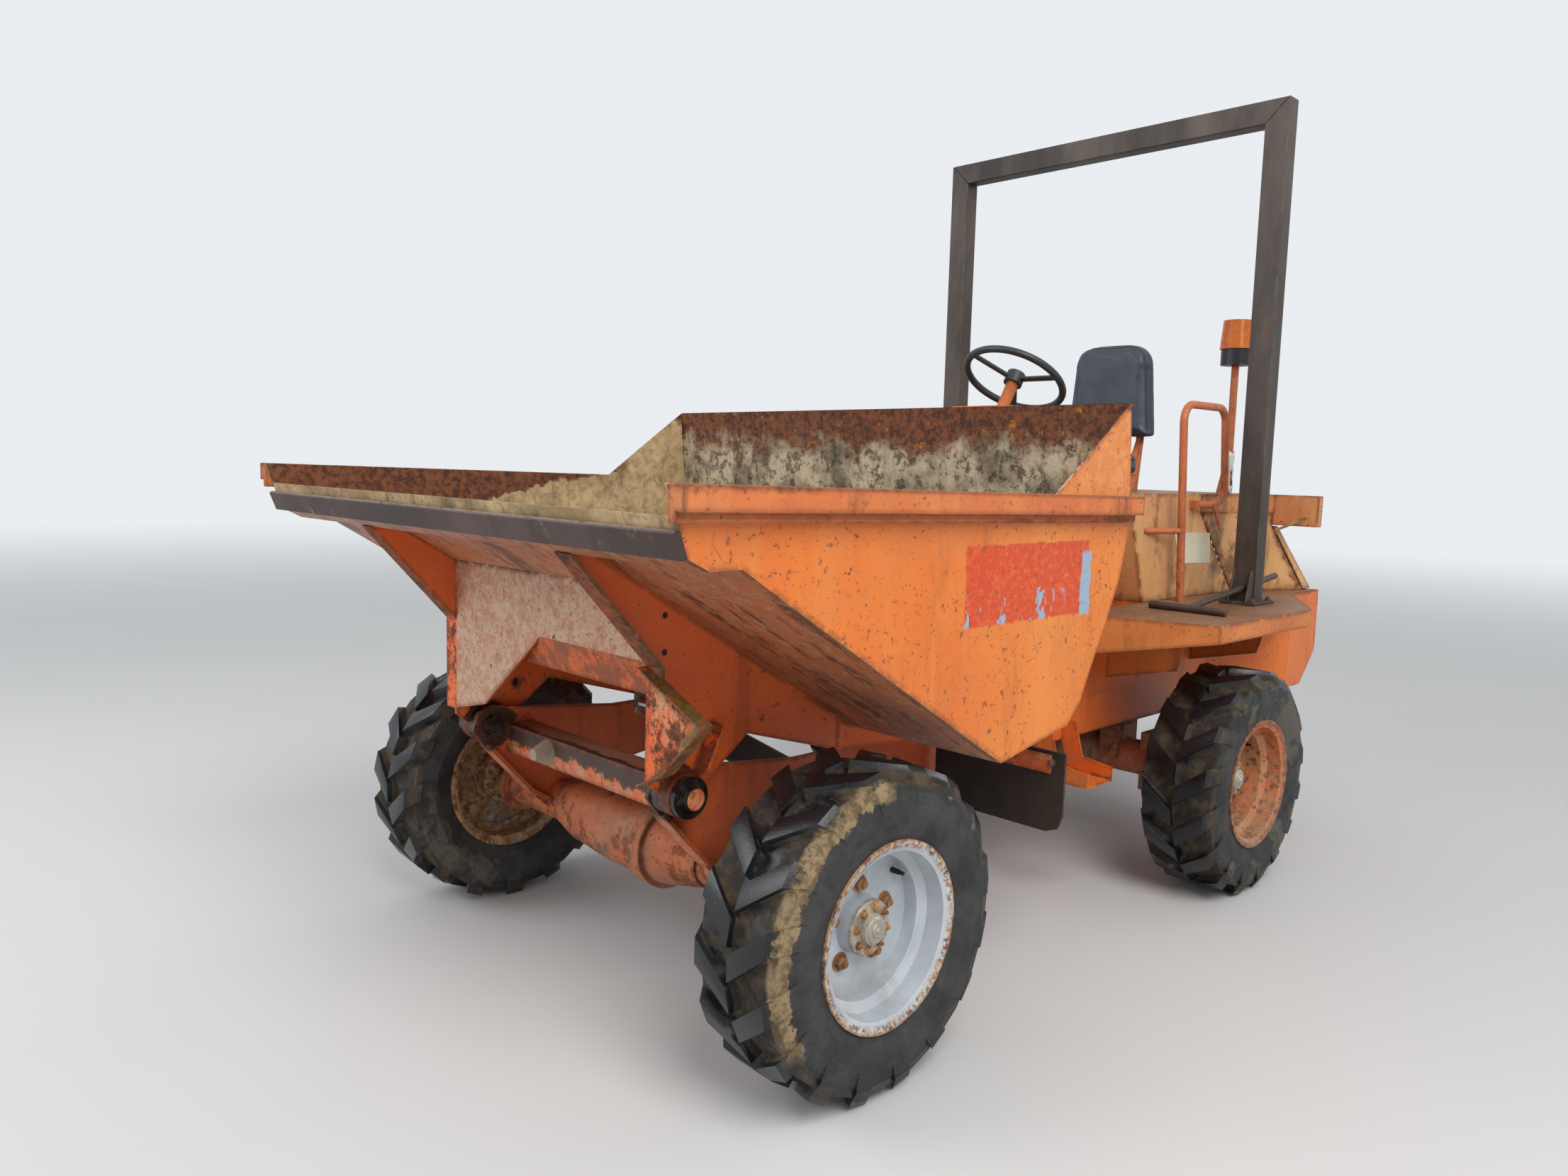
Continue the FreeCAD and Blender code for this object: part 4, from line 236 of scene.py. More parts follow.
def worn_paint(name, base, shade, chips=0.5, edge=0.5, cement=0.0, low_dirt=0.0, gloss=0.42, streaks=0.5,
               also=None):
    """Sun-faded paint: tone patches, run-down streaks, rusty chips, bare edges and dried splashes."""
    look = Look(name)
    paint = look.mix(look.blots(1.7, 0.3, 0.72), shade, base)
    runs = look.blots(9, 0.42, 0.72, 5, 0.6, by=(1, 1, 0.09))
    paint = look.mix(look.both(runs, 0.35 * streaks), paint, tinted(base, 1.18, 0.02))
    stains = look.step(look.noise(6, 7, 0.65, by=(1, 1, 0.16), distort=0.4), 0.54, 0.68)
    paint = look.mix(look.both(stains, 0.8 * streaks), paint, tinted(shade, 0.4))
    film = look.both(look.blots(3.1, 0.45, 0.7, 8, 0.75), 0.3)
    paint = look.mix(film, paint, colour(168, 112, 76))
    where = look.blots(2.6, 0.62 - 0.25 * chips, 0.75, 4)
    specks = look.both(look.blots(46, 0.63 - 0.05 * chips, 0.67, 6, 0.7), where)
    dots = look.blots(80, 0.67 - 0.03 * chips, 0.70, 3, 0.6)
    scratch = look.both(look.step(look.cracks(7, by=(1, 1, 0.35)), 0.006, 0.0, 0, 1), look.blots(5, 0.6, 0.68, 4))
    corner = look.both(look.edges(0.02, 0.01, 0.12), look.blots(16, 0.6 - 0.3 * edge, 0.66 - 0.2 * edge, 6, 0.7))
    bare = look.most(specks, dots, scratch, corner)
    if also is not None:
        paint, bare = also(look, paint, bare)
    paint = look.mix(bare, paint, rust(look))
    dirt = look.both(look.blots(4.5, 0.62 - 0.3 * cement, 0.8 - 0.2 * cement, 8, 0.7), cement)
    paint = look.mix(dirt, paint, CEMENT)
    if low_dirt:
        mud = look.both(look.step(look.axes[2], 0.75, 0.35), look.blots(7, 0.35, 0.7, 8, 0.7), low_dirt)
        paint = look.mix(mud, paint, colour(96, 78, 62))
    rough = look.sum("ADD", gloss, look.both(look.most(bare, dirt), 0.4), clamp=True)
    look.bump(look.sum("SUBTRACT", look.both(look.noise(60, 5, 0.7), 0.25), bare), 0.3, 0.0014)
    return look.finish(paint, rough)


def brown_top(tone, low=0.7):
    """Trodden upper faces: the paint gone brown, darker and lighter in patches."""
    def change(look, paint, bare):
        up = look.both(look.step(look.facing[2], low, low + 0.15), 0.94)
        worn = look.mix(look.blots(5, 0.35, 0.65, 7, 0.7), tinted(tone, 0.62), tone)
        worn = look.mix(look.both(look.blots(30, 0.5, 0.6, 7, 0.75), 0.5), worn, tinted(tone, 1.35))
        return look.mix(up, paint, worn), bare
    return change


def hood_stains(look, paint, bare):
    """Slanting dark runs, a green line along the foot and brown upper faces."""
    slant = look.both(look.blots(12, 0.53, 0.62, 7, 0.7, by=(0.45, 1, 0.3)), look.blots(2.2, 0.38, 0.54, 3), 0.85)
    paint = look.mix(slant, paint, colour(104, 76, 50))
    pink = look.both(look.blots(1.1, 0.42, 0.6, 4), look.step(look.axes[0], -1.1, -0.9), 0.6)
    paint = look.mix(pink, paint, colour(204, 142, 98))
    foot = look.both(look.step(look.line((look.axes[2], 1.0), (look.noise(9, 6, 0.7), 0.08)), 1.03, 0.975),
                     look.blots(12, 0.35, 0.6), 0.8)
    paint = look.mix(foot, paint, colour(108, 86, 48))
    return brown_top(colour(150, 112, 78))(look, paint, bare)


def greasy(look, paint, reach=0.066):
    """Black grease that has crept out round the hinge."""
    radius = look.from_axis(PIN_X, PIN_Z)[0]
    ragged = look.line((radius, 1.0), (look.noise(14, 7, 0.75), -0.09), start=0.045)
    return look.mix(look.both(look.step(ragged, reach + 0.004, reach - 0.004), 0.93), paint, GREASE)


def underframe_dirt(look, paint, bare):
    """Cement on the cross panel, dark leg edges, pale runs and moss on the tray."""
    x, y, z = look.axes
    nx, ny, nz = look.facing
    side = look.sum("ABSOLUTE", y)
    deep = look.both(look.step(z, 0.9, 1.12), 0.25)
    paint = look.mix(deep, paint, colour(192, 80, 34))
    front = look.both(look.step(nx, 0.6, 0.8), look.step(side, 0.44, 0.435))
    film = look.both(front, look.blots(7, 0.2, 0.42, 9, 0.8), look.step(nz, -0.35, -0.25))
    pink = look.mix(look.blots(38, 0.4, 0.58, 8, 0.8), colour(172, 122, 96), colour(192, 166, 138))
    pink = look.mix(look.both(look.blots(64, 0.6, 0.66, 4), 0.7), pink, colour(96, 66, 50))
    paint = look.mix(look.both(film, 0.92), paint, pink)
    fold = look.both(look.step(nx, 0.5, 0.7), look.step(nz, -0.2, -0.35), look.step(side, 0.44, 0.435))
    worn = look.mix(look.blots(17, 0.42, 0.54, 8, 0.78), colour(206, 92, 18), colour(124, 64, 30))
    paint = look.mix(look.both(fold, 0.9), paint, worn)
    edge = look.both(look.step(nx, 0.25, 0.45), look.step(side, 0.4385, 0.4395), look.step(z, 0.94, 0.97),
                     look.blots(20, 0.25, 0.4))
    shin = look.both(look.step(nx, 0.25, 0.45), look.step(side, 0.4385, 0.4395), look.blots(14, 0.47, 0.54, 7, 0.75))
    tray = look.both(look.step(y, 0.452, 0.462), look.step(x, PIN_X + 0.075, PIN_X + 0.08))
    runs = look.both(tray, look.blots(22, 0.5, 0.6, 6, 0.7, by=(1, 1, 0.22)), 0.7)
    paint = look.mix(runs, paint, colour(206, 168, 130))
    upper = look.line((y, -0.40), (z, -0.916), start=1.049)
    outer = look.line((y, -0.707), (z, 0.707), start=-0.131)
    rim = look.most(look.step(upper, 0.05, 0.02), look.step(outer, 0.05, 0.022))
    moss = look.both(tray, rim, look.blots(26, 0.3, 0.48, 7, 0.75))
    paint = look.mix(look.both(moss, 0.9), paint, look.mix(look.blots(60, 0.4, 0.6), tinted(MOSS, 0.5), MOSS))
    pitted = look.both(look.blots(19, 0.62, 0.66, 7, 0.75), look.step(z, 0.6, 0.8))
    return greasy(look, paint), look.most(bare, edge, shin, pitted)


def frame_dust(look, paint, bare):
    """Dusty upper faces and beige splashes on the faces that look forward."""
    nx, ny, nz = look.facing
    top = look.both(look.step(nz, 0.5, 0.8), look.step(look.axes[0], 0.3, 0.6))
    paint = look.mix(look.both(top, 0.85), paint, colour(152, 108, 90))
    front = look.both(look.step(nx, 0.5, 0.8), look.blots(22, 0.44, 0.56, 8, 0.8), 0.7)
    return greasy(look, look.mix(front, paint, colour(196, 152, 116)), 0.074), bare


def axle_rust(look, paint, bare):
    """Wide brown patches where the axle's paint has gone."""
    return paint, look.most(bare, look.both(look.blots(8, 0.49, 0.55, 8, 0.75), 0.9))


def black_base(look, paint, bare):
    """The beacon's plain black foot on its orange pole."""
    foot = look.step(look.axes[2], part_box("seat_frame")[1].z - 0.003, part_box("seat_frame")[1].z)
    return look.mix(foot, paint, colour(24, 24, 26)), look.both(bare, look.step(foot, 1, 0, 0.15, 1))


def rim_rust(look, paint, bare):
    """Rust that runs along the upper and lower edges of the skip's side bars."""
    low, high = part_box("skip_rims")
    wave = look.both(look.sum("SUBTRACT", look.noise(11, 7, 0.75), 0.5), 0.05)
    above = look.line((look.axes[2], 1.0), (wave, 1.0))
    lower = look.both(look.step(above, low.z + 0.022, low.z + 0.008), look.blots(18, 0.3, 0.5), 0.85)
    upper = look.both(look.step(above, high.z - 0.020, high.z - 0.004), look.blots(24, 0.36, 0.52), 0.8)
    return brown_top(colour(158, 96, 68), 0.8)(look, paint, look.most(bare, lower, upper))


def build_materials():
    """One material for each group of nodes, by its plain name."""
    orange = colour(226, 120, 46)
    made = {}
    made["body"] = worn_paint("worn_orange", orange, colour(214, 98, 36), chips=0.45, edge=0.5, low_dirt=0.3)
    made["rim"] = worn_paint("rim_orange", colour(220, 132, 68), colour(194, 98, 50), chips=1.4, edge=1.3,
                             streaks=1.0, gloss=0.5, also=rim_rust)
    made["fender"] = worn_paint("fender_orange", colour(212, 130, 58), colour(188, 100, 44), chips=0.9, edge=0.8,
                                streaks=0.8, gloss=0.5, also=brown_top(DECK_BROWN))
    made["frame"] = worn_paint("chassis_orange", colour(226, 106, 48), colour(182, 78, 38), chips=0.9, edge=0.8,
                               cement=0.2, low_dirt=0.7, gloss=0.5, also=frame_dust)
    made["under"] = worn_paint("underframe_orange", colour(248, 116, 44), colour(226, 98, 38), chips=0.9, edge=0.8,
                               low_dirt=0.15, gloss=0.48, also=underframe_dirt)
    made["hood"] = worn_paint("faded_hood", colour(224, 172, 112), colour(208, 150, 94), chips=0.75, edge=0.7,
                              streaks=0.9, gloss=0.5, also=hood_stains)
    made["cap"] = worn_paint("faded_cap", colour(214, 152, 94), colour(184, 112, 66), chips=0.9, edge=0.9,
                             streaks=0.9, gloss=0.5, also=brown_top(colour(158, 118, 82)))
    made["handle"] = worn_paint("handle_orange", colour(204, 124, 74), colour(180, 94, 54), chips=1.5, edge=0.4,
                                also=black_base)
    made["console"] = worn_paint("console_orange", colour(214, 120, 54), colour(190, 96, 42), chips=0.6, edge=0.6)
    made["axle"] = worn_paint("axle_orange", colour(204, 108, 56), colour(158, 84, 50), chips=1.2, edge=0.8,
                              cement=0.6, low_dirt=0.6, gloss=0.6, also=axle_rust)
    made["deck"] = worn_paint("deck_paint", colour(208, 118, 56), colour(160, 84, 46), chips=1.1, edge=1.0,
                              cement=0.15, gloss=0.6, also=brown_top(DECK_BROWN))
    return made


def steel_look(name, base, dark, rough=0.5, metal=0.6, rusty=0.3, splash=0.0, light_top=0.0):
    """Bare or thinly painted steel, rubbed and stained."""
    look = Look(name, metal=metal)
    tone = look.mix(look.blots(3, 0.35, 0.68, 7, 0.65, by=(1, 1, 0.3)), dark, base)
    spots = look.both(look.blots(11, 0.66 - 0.15 * rusty, 0.72, 8, 0.7), min(1, rusty * 2))
    tone = look.mix(spots, tone, rust(look))
    bright = look.both(look.edges(0.008), look.blots(20, 0.45, 0.6, 5), 0.6)
    tone = look.mix(bright, tone, tinted(base, 2.2, 0.03))
    if light_top:
        top = look.both(look.step(look.facing[2], 0.5, 0.85), light_top, look.blots(30, 0.3, 0.5))
        tone = look.mix(top, tone, colour(152, 132, 120))
    if splash:
        tone = look.mix(look.both(look.blots(7, 0.58, 0.68, 8, 0.75), splash), tone, colour(168, 142, 104))
    look.bump(look.noise(80, 5, 0.7), 0.15, 0.001)
    return look.finish(tone, look.sum("ADD", rough, look.both(spots, 0.3), clamp=True))


def plain_look(name, base, dark, rough=0.6, scale=30.0, bump=0.2, ribs=0.0):
    """Plastic, rubber or vinyl with a fine grain and some dust."""
    look = Look(name)
    tone = look.mix(look.blots(scale * 0.12, 0.35, 0.7), dark, base)
    height = look.noise(scale * 6, 4, 0.7)
    if ribs:
        wave = look.sum("SINE", look.sum("MULTIPLY", look.axes[0], ribs))
        height = look.sum("ADD", height, wave)
        # The rib troughs are painted darker: painted shade in the grooves between the ribs
        tone = look.mix(look.step(wave, 0.2, -0.8, 0.0, 0.5), tone, dark)
    look.bump(height, bump, 0.0006)
    return look.finish(tone, look.step(look.noise(scale * 0.3, 4), 0.3, 0.7, rough - 0.08, rough + 0.08))


def pin_look():
    """Black grease on the hinge collars, and the bare orange end of each pin."""
    look = Look("hinge_pin")
    radius = look.from_axis(PIN_X, PIN_Z)[0]
    end = look.both(look.step(radius, 0.0265, 0.0235), look.blots(50, 0.28, 0.4),
                    look.step(look.sum("ABSOLUTE", look.axes[1]), PIN_HIGH.y - 0.02, PIN_HIGH.y - 0.01))
    rings = look.sum("SINE", look.sum("MULTIPLY", radius, 700.0))
    grease = look.mix(look.blots(30, 0.45, 0.65), GREASE, colour(72, 58, 46))
    tone = look.mix(end, grease, look.mix(look.blots(40, 0.4, 0.6), colour(196, 92, 58), colour(226, 142, 98)))
    look.bump(look.line((rings, 0.4), (look.noise(40, 6, 0.7), 1.0)), 0.5, 0.002)
    return look.finish(tone, look.step(end, 0, 1, 0.28, 0.6))


def wheel_look(name, centre_x, band_side):
    """Tyre rubber: gloss on the lugs, a bluish tone painted in as a reflection of the sky, brown dirt between them, a
    dusty wall and some dried mud.
    """
    look = Look(name)
    radius, across, up = look.from_axis(centre_x, AXLE_Z)
    side = look.sum("SUBTRACT", look.sum("ABSOLUTE", look.axes[1]), TRACK_Y)
    # The lighter rubber tone is bluish: a painted sky reflection, laid on in patches
    rubber = look.mix(look.blots(4, 0.35, 0.65), colour(13, 14, 16), colour(27, 30, 35))
    rubber = look.mix(look.both(look.blots(60, 0.64, 0.68, 4), 0.5), rubber, colour(84, 84, 86))
    wall = look.both(look.step(radius, 0.338, 0.318), look.step(look.sum("ABSOLUTE", side), 0.07, 0.09))
    rings = look.sum("SINE", look.sum("MULTIPLY", radius, 420.0))
    grain = look.mix(look.blots(9, 0.32, 0.68, 8, 0.75), colour(32, 32, 34), colour(62, 61, 60))
    rubber = look.mix(wall, rubber, grain)
    deep = look.both(look.step(radius, TYRE_RADIUS - 0.011, TYRE_RADIUS - 0.019), look.step(radius, 0.33, 0.345),
                     look.blots(7, 0.36, 0.54, 7, 0.7))
    rubber = look.mix(look.both(deep, 0.8), rubber, look.mix(look.blots(20, 0.4, 0.6), colour(42, 35, 28),
                                                             colour(84, 70, 52)))
    ragged = look.both(look.sum("SUBTRACT", look.noise(30, 6, 0.75), 0.5), 0.075)
    edge = look.sum("ADD", radius, ragged)
    shoulder = look.both(look.step(side, 0.084, 0.096), look.step(edge, 0.318, 0.322))
    if band_side:
        turned = look.both(look.step(across, 0.0, 0.05), look.step(up, -0.2, -0.13),
                           look.step(look.axes[1], 0, 0.1))
        band = look.both(shoulder, turned, look.step(edge, 0.362, 0.356))
        mud = look.mix(look.blots(40, 0.4, 0.6), colour(100, 82, 58), colour(146, 124, 92))
        rubber = look.mix(look.both(band, 0.95), rubber, mud)
    else:
        band = look.both(look.step(look.sum("ABSOLUTE", side), 0.06, 0.08), look.blots(4, 0.54, 0.6, 5),
                         look.step(radius, 0.345, 0.335))
        rubber = look.mix(look.both(band, 0.55), rubber, colour(104, 98, 84))
    look.bump(look.line((look.noise(120, 5, 0.7), 1.0), (look.both(rings, wall), 0.35), (band, 1.2)), 0.4, 0.0016)
    dull = look.most(look.both(band, 0.9), wall, deep)
    return look.finish(rubber, look.step(dull, 0.0, 0.8, 0.3, 0.82))


def rim_look(name, base, dark, rusty, centre_x, bare_tone, hub_tone):
    """Painted rim whose flange has rusted, and whose well is painted rust and brown: partly real rust, partly painted
    shade.
    """
    look = Look(name)
    radius = look.from_axis(centre_x, AXLE_Z)[0]
    side = look.sum("ABSOLUTE", look.axes[1])
    paint = look.mix(look.blots(4, 0.35, 0.7), dark, base)
    flange = look.both(look.step(radius, RIM_RADIUS - 0.024, RIM_RADIUS - 0.012),
                       look.blots(95, 0.45 - 0.12 * rusty, 0.55, 6, 0.7))
    outer = look.both(look.step(radius, RIM_RADIUS - 0.007, RIM_RADIUS - 0.002), 0.9)
    spots = look.blots(34, 0.7 - 0.24 * rusty, 0.74 - 0.18 * rusty, 7, 0.75)
    hub = look.both(look.step(radius, 0.0655, 0.064), look.step(side, TRACK_Y + 0.01, TRACK_Y + 0.03))
    metal = look.mix(look.blots(26, 0.45, 0.6, 7, 0.7), hub_tone, tinted(hub_tone, 0.55))
    paint = look.mix(hub, paint, metal)
    # The inner half and the inward faces form the well: painted shade there as rust and dark brown, mixed with real
    # rust
    inward = look.step(look.sum("MULTIPLY", look.facing[1], look.axes[1]), 0.0, -0.1)
    well_shade_and_rust = look.both(look.most(inward, look.step(side, TRACK_Y + 0.004, TRACK_Y - 0.004)),
                      look.blots(8, 0.28, 0.4, 7, 0.75))
    bare = look.most(flange, outer, well_shade_and_rust, look.both(spots, look.step(hub, 1, 0, 0.3, 1.0)))
    worn = look.mix(look.blots(42, 0.4, 0.62), rust(look, 20), bare_tone)
    worn = look.mix(look.both(well_shade_and_rust, look.blots(12, 0.45, 0.6), 0.7), worn, colour(128, 104, 80))
    paint = look.mix(bare, paint, worn)
    low = look.both(look.step(look.axes[2], AXLE_Z - 0.05, AXLE_Z - 0.17), look.blots(6, 0.4, 0.6), 0.35)
    paint = look.mix(low, paint, colour(132, 116, 96))
    look.bump(look.sum("SUBTRACT", look.both(look.noise(60, 4), 0.3), bare), 0.25, 0.0012)
    return look.finish(paint, look.sum("ADD", 0.36, look.both(bare, 0.45), clamp=True))


def skip_outside(look):
    """Bright worn orange with chips, peeled places, rust at the top and a torn plain sticker."""
    x, y, z = look.axes
    paint = look.mix(look.blots(1.3, 0.3, 0.72), colour(214, 106, 36), colour(226, 130, 50))
    paint = look.mix(look.both(look.blots(8, 0.45, 0.72, 5, 0.6, by=(1, 1, 0.08)), 0.35), paint,
                     colour(234, 150, 74))
    stains = look.blots(5, 0.54, 0.7, 7, 0.7, by=(1, 1, 0.2))
    paint = look.mix(look.both(stains, 0.55), paint, colour(168, 82, 38))
    film = look.both(look.blots(3.4, 0.46, 0.7, 8, 0.78), 0.35)
    paint = look.mix(film, paint, colour(190, 122, 72))
    high = look.step(look.line((z, 1.0), (look.noise(3, 6, 0.7), 0.1)), 1.33, 1.42)
    peeled = look.both(look.blots(15, 0.46, 0.54, 7, 0.75), high)
    paint = look.mix(look.both(high, 0.5), paint, colour(232, 160, 92))
    paint = look.mix(look.both(peeled, 0.55), paint, colour(208, 116, 56))
    specks = look.both(look.blots(42, 0.58, 0.62, 7, 0.75), look.blots(2.4, 0.44, 0.56, 4))
    dots = look.blots(90, 0.65, 0.68, 3)
    lines = look.both(look.step(look.cracks(6, by=(1, 1, 0.5)), 0.005, 0.0), look.blots(4, 0.58, 0.66, 4))
    corner = look.both(look.edges(0.022, 0.01, 0.12), look.blots(14, 0.4, 0.52, 7, 0.75))
    top_rust = look.both(look.step(z, SKIP_HIGH.z - 0.03, SKIP_HIGH.z - 0.012), 0.9)
    bare = look.most(specks, dots, lines, corner, top_rust)

    # Remnants of a sticker on the left side: a worn red field with pale blue tears, and no lettering
    ragged = look.both(look.sum("SUBTRACT", look.noise(36, 6, 0.75), 0.5), 0.03)
    sx = look.sum("ADD", x, ragged)
    sz = look.sum("ADD", z, ragged)
    left = look.step(y, 0.92, 0.925)
    field = look.both(look.step(sx, 0.474, 0.478), look.step(sx, 0.985, 0.981), look.step(sz, 1.05, 1.054),
                      look.step(sz, 1.238, 1.234), left)
    red = look.mix(look.blots(60, 0.5, 0.6, 6, 0.75), colour(204, 62, 24), colour(214, 96, 50))
    paint = look.mix(look.both(field, look.blots(16, 0.3, 0.36, 6, 0.7), 0.92), paint, red)
    strip = look.both(look.step(sx, 0.512, 0.506), look.step(sx, 0.464, 0.468), look.step(sz, 1.046, 1.05),
                      look.step(z, 1.215, 1.20), left)
    low_tear = look.both(field, look.step(sz, 1.122, 1.115), look.step(sx, 0.57, 0.60),
                         look.blots(7, 0.53, 0.545, 5, 0.7, by=(1, 1, 0.4)))
    mid_tear = look.both(field, look.blots(9, 0.66, 0.67, 5, 0.65, by=(1, 1, 0.45)))
    tears = look.most(strip, low_tear, mid_tear)
    paint = look.mix(tears, paint, colour(146, 172, 194))
    return paint, look.both(bare, look.step(tears, 1, 0, 0.3, 1))


def skip_inside(look):
    """Pale concrete film under a ragged rust edge, heavy rust near the top, dark spots low down."""
    x, y, z = look.axes
    wall = look.step(look.sum("ABSOLUTE", look.facing[1]), 0.6, 0.8)
    cream = look.mix(look.blots(4, 0.35, 0.66, 8, 0.7), colour(160, 134, 98), colour(212, 184, 140))
    grey = look.mix(look.blots(6, 0.35, 0.6, 8, 0.72), colour(108, 96, 78), colour(196, 180, 152))
    upright = wall
    wall = look.most(wall, look.step(x, 1.15, 1.35))
    film = look.mix(wall, grey, cream)
    dark = look.both(look.blots(28, 0.5, 0.58, 8, 0.78), look.step(wall, 0, 1, 0.8, 0.35))
    film = look.mix(dark, film, colour(54, 46, 36))
    # Broad patches, darker towards the bottom of the bowl
    darker_low_patches = look.both(look.blots(2.6, 0.5, 0.66, 6, 0.7), look.step(z, 1.45, 1.3), 0.5)
    film = look.mix(darker_low_patches, film, colour(98, 88, 64))
    ragged = look.both(look.sum("SUBTRACT", look.noise(7, 9, 0.72), 0.5), 0.36)
    on_wall = look.line((z, 1.0), (x, 0.1925), (ragged, 0.45))
    on_back = look.line((z, 1.0), (ragged, 1.0))
    forward = look.both(look.step(on_wall, 1.468, 1.476), look.step(x, 0.5, 0.62), upright)
    crust = look.mix(wall, look.step(on_back, 1.42, 1.5), look.most(forward, look.step(on_back, 1.5, 1.56)))
    runs = look.both(look.blots(15, 0.53, 0.64, 7, 0.7, by=(1, 1, 0.16)), look.step(z, 1.1, 1.42), 0.7)
    red = look.mix(look.blots(50, 0.4, 0.58, 7, 0.75), colour(70, 42, 32), colour(126, 74, 46))
    film = look.mix(look.most(crust, runs), film, red)
    gold = look.both(look.blots(22, 0.6, 0.66, 7, 0.75), look.step(z, 1.3, 1.5), look.step(wall, 1, 0))
    return look.mix(look.both(gold, 0.8), film, colour(196, 124, 40))


def skip_look():
    """The skip's sheets: each face finds its side from its place and where it faces."""
    look = Look("skip_paint")
    x, y, z = look.axes
    nx, ny, nz = look.facing
    side_y = look.sum("ABSOLUTE", y)
    panel = look.both(look.step(look.sum("ABSOLUTE", ny), 0.8, 0.9), look.step(side_y, 0.9275, 0.9285))
    under = look.both(look.step(look.line((nx, 0.5), (nz, 1.0)), 0.05, -0.05),
                      look.step(look.sum("ABSOLUTE", ny), 0.5, 0.4))
    outside = look.most(panel, under)
    paint, bare = skip_outside(look)
    below = look.mix(look.blots(1.3, 0.3, 0.7), colour(160, 98, 68), colour(196, 116, 72))
    streaks = look.blots(16, 0.5, 0.6, 8, 0.75, by=(0.22, 1, 0.3))
    below = look.mix(look.both(streaks, 0.8), below, colour(66, 44, 34))
    below = look.mix(look.both(look.blots(30, 0.5, 0.62, 7, 0.75), 0.5), below, colour(184, 150, 118))
    below = look.mix(look.both(look.step(nx, -0.25, -0.5), 0.9), below, paint)
    outer = look.mix(bare, look.mix(under, paint, below), rust(look))
    tone = look.mix(outside, skip_inside(look), outer)
    rough = look.sum("ADD", look.step(outside, 0.0, 1.0, 0.9, 0.42), look.both(bare, 0.3), clamp=True)
    grain = look.both(look.noise(70, 6, 0.75), look.step(outside, 0, 1, 1.0, 0.3))
    peel = look.both(look.blots(15, 0.46, 0.54, 7, 0.75), look.step(z, 1.34, 1.42), 0.8)
    look.bump(look.line((grain, 1.0), (bare, -1.0), (peel, -1.0)), 0.4, 0.0018)
    return look.finish(tone, rough)


def glass_amber():
    look = Look("amber_lens", rough=0.25)
    look.shader.inputs["Transmission Weight"].default_value = 0.35
    ribs = look.sum("SINE", look.sum("MULTIPLY", look.axes[2], 900.0))
    look.bump(ribs, 0.4, 0.001)
    return look.finish(look.mix(look.blots(20, 0.4, 0.7, 5), colour(236, 128, 24), colour(214, 100, 20)))


def piece(name, body, material, build):
    """A joined mesh that build makes, riding on a body."""
    shape = bmesh.new()
    build(shape)
    bmesh.ops.recalc_face_normals(shape, faces=shape.faces)
    mesh = bpy.data.meshes.new(name)
    shape.to_mesh(mesh)
    shape.free()
    mesh.materials.append(material)
    item = bpy.data.objects.new(name, mesh)
    bpy.context.scene.collection.objects.link(item)
    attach(item, body)
    return item


def drum(shape, place, along, radius, depth, sides=6, top=None, turn=0.0):
    """A prism or cone that starts at a place and runs along a direction."""
    along = Vector(along).normalized()
    spin = along.to_track_quat("Z", "Y").to_matrix().to_4x4() @ Matrix.Rotation(turn, 4, "Z")
    middle = Matrix.Translation(Vector(place) + along * depth / 2)
    bmesh.ops.create_cone(shape, cap_ends=True, segments=sides, radius1=radius,
                          radius2=radius if top is None else top, depth=depth, matrix=middle @ spin)


def hex_bolt(shape, place, along, size, stud=0.0):
    """A washer, a hexagon head with its corners taken off, and the end of a stud."""
    along = Vector(along).normalized()
    drum(shape, place, along, size * 1.35, size * 0.25, 20)
    drum(shape, Vector(place) + along * size * 0.2, along, size, size * 0.75, 6, turn=size * 90)
    drum(shape, Vector(place) + along * size * 0.95, along, size * 0.96, size * 0.2, 6, size * 0.7, size * 90)
    if stud:
        drum(shape, Vector(place) + along * size, along, size * 0.52, size * stud, 12)


def wheel_fasteners(end, side, centre_x, looks):
    """Wheel nuts on their studs, the hub's small bolts round a domed cap, and the valve."""
    out = Vector((0, side, 0))
    disc, hub = {"front": (0.797, 0.842), "rear": (0.781, 0.820)}[end]
    centre = Vector((centre_x, 0, AXLE_Z))

    def at(radius, angle, y):
        return centre + Vector((math.cos(angle) * radius, side * y, math.sin(angle) * radius))

    def nuts(shape):
        for turn in range(5):
            hex_bolt(shape, at(0.094, math.radians(72 * turn + 18), disc), out, 0.0165, 0.5)
        for turn in range(8):
            hex_bolt(shape, at(0.050, math.radians(45 * turn + 10), hub), out, 0.0075, 0.7)

    def cap(shape):
        drum(shape, centre + out * (hub + 0.0135), out, 0.031, 0.004, 32, 0.028)
        drum(shape, centre + out * (hub + 0.0172), out, 0.017, 0.004, 32, 0.014)
        drum(shape, centre + out * (hub + 0.0210), out, 0.006, 0.003, 16, 0.004)

    def valve(shape):
        drum(shape, at(0.150, math.radians(140), disc - 0.01), out, 0.0075, 0.035, 16, 0.006)
        drum(shape, at(0.150, math.radians(140), disc + 0.024), out, 0.0048, 0.014, 12)

    name = "%s_%s" % (end, "left" if side > 0 else "right")
    body = "wheel_" + name
    piece("wheel_nuts_" + name, body, looks["nuts"], nuts)
    piece("hub_cap_" + name, body, looks["cap"], cap)
    piece("valve_" + name, body, looks["valve"], valve)


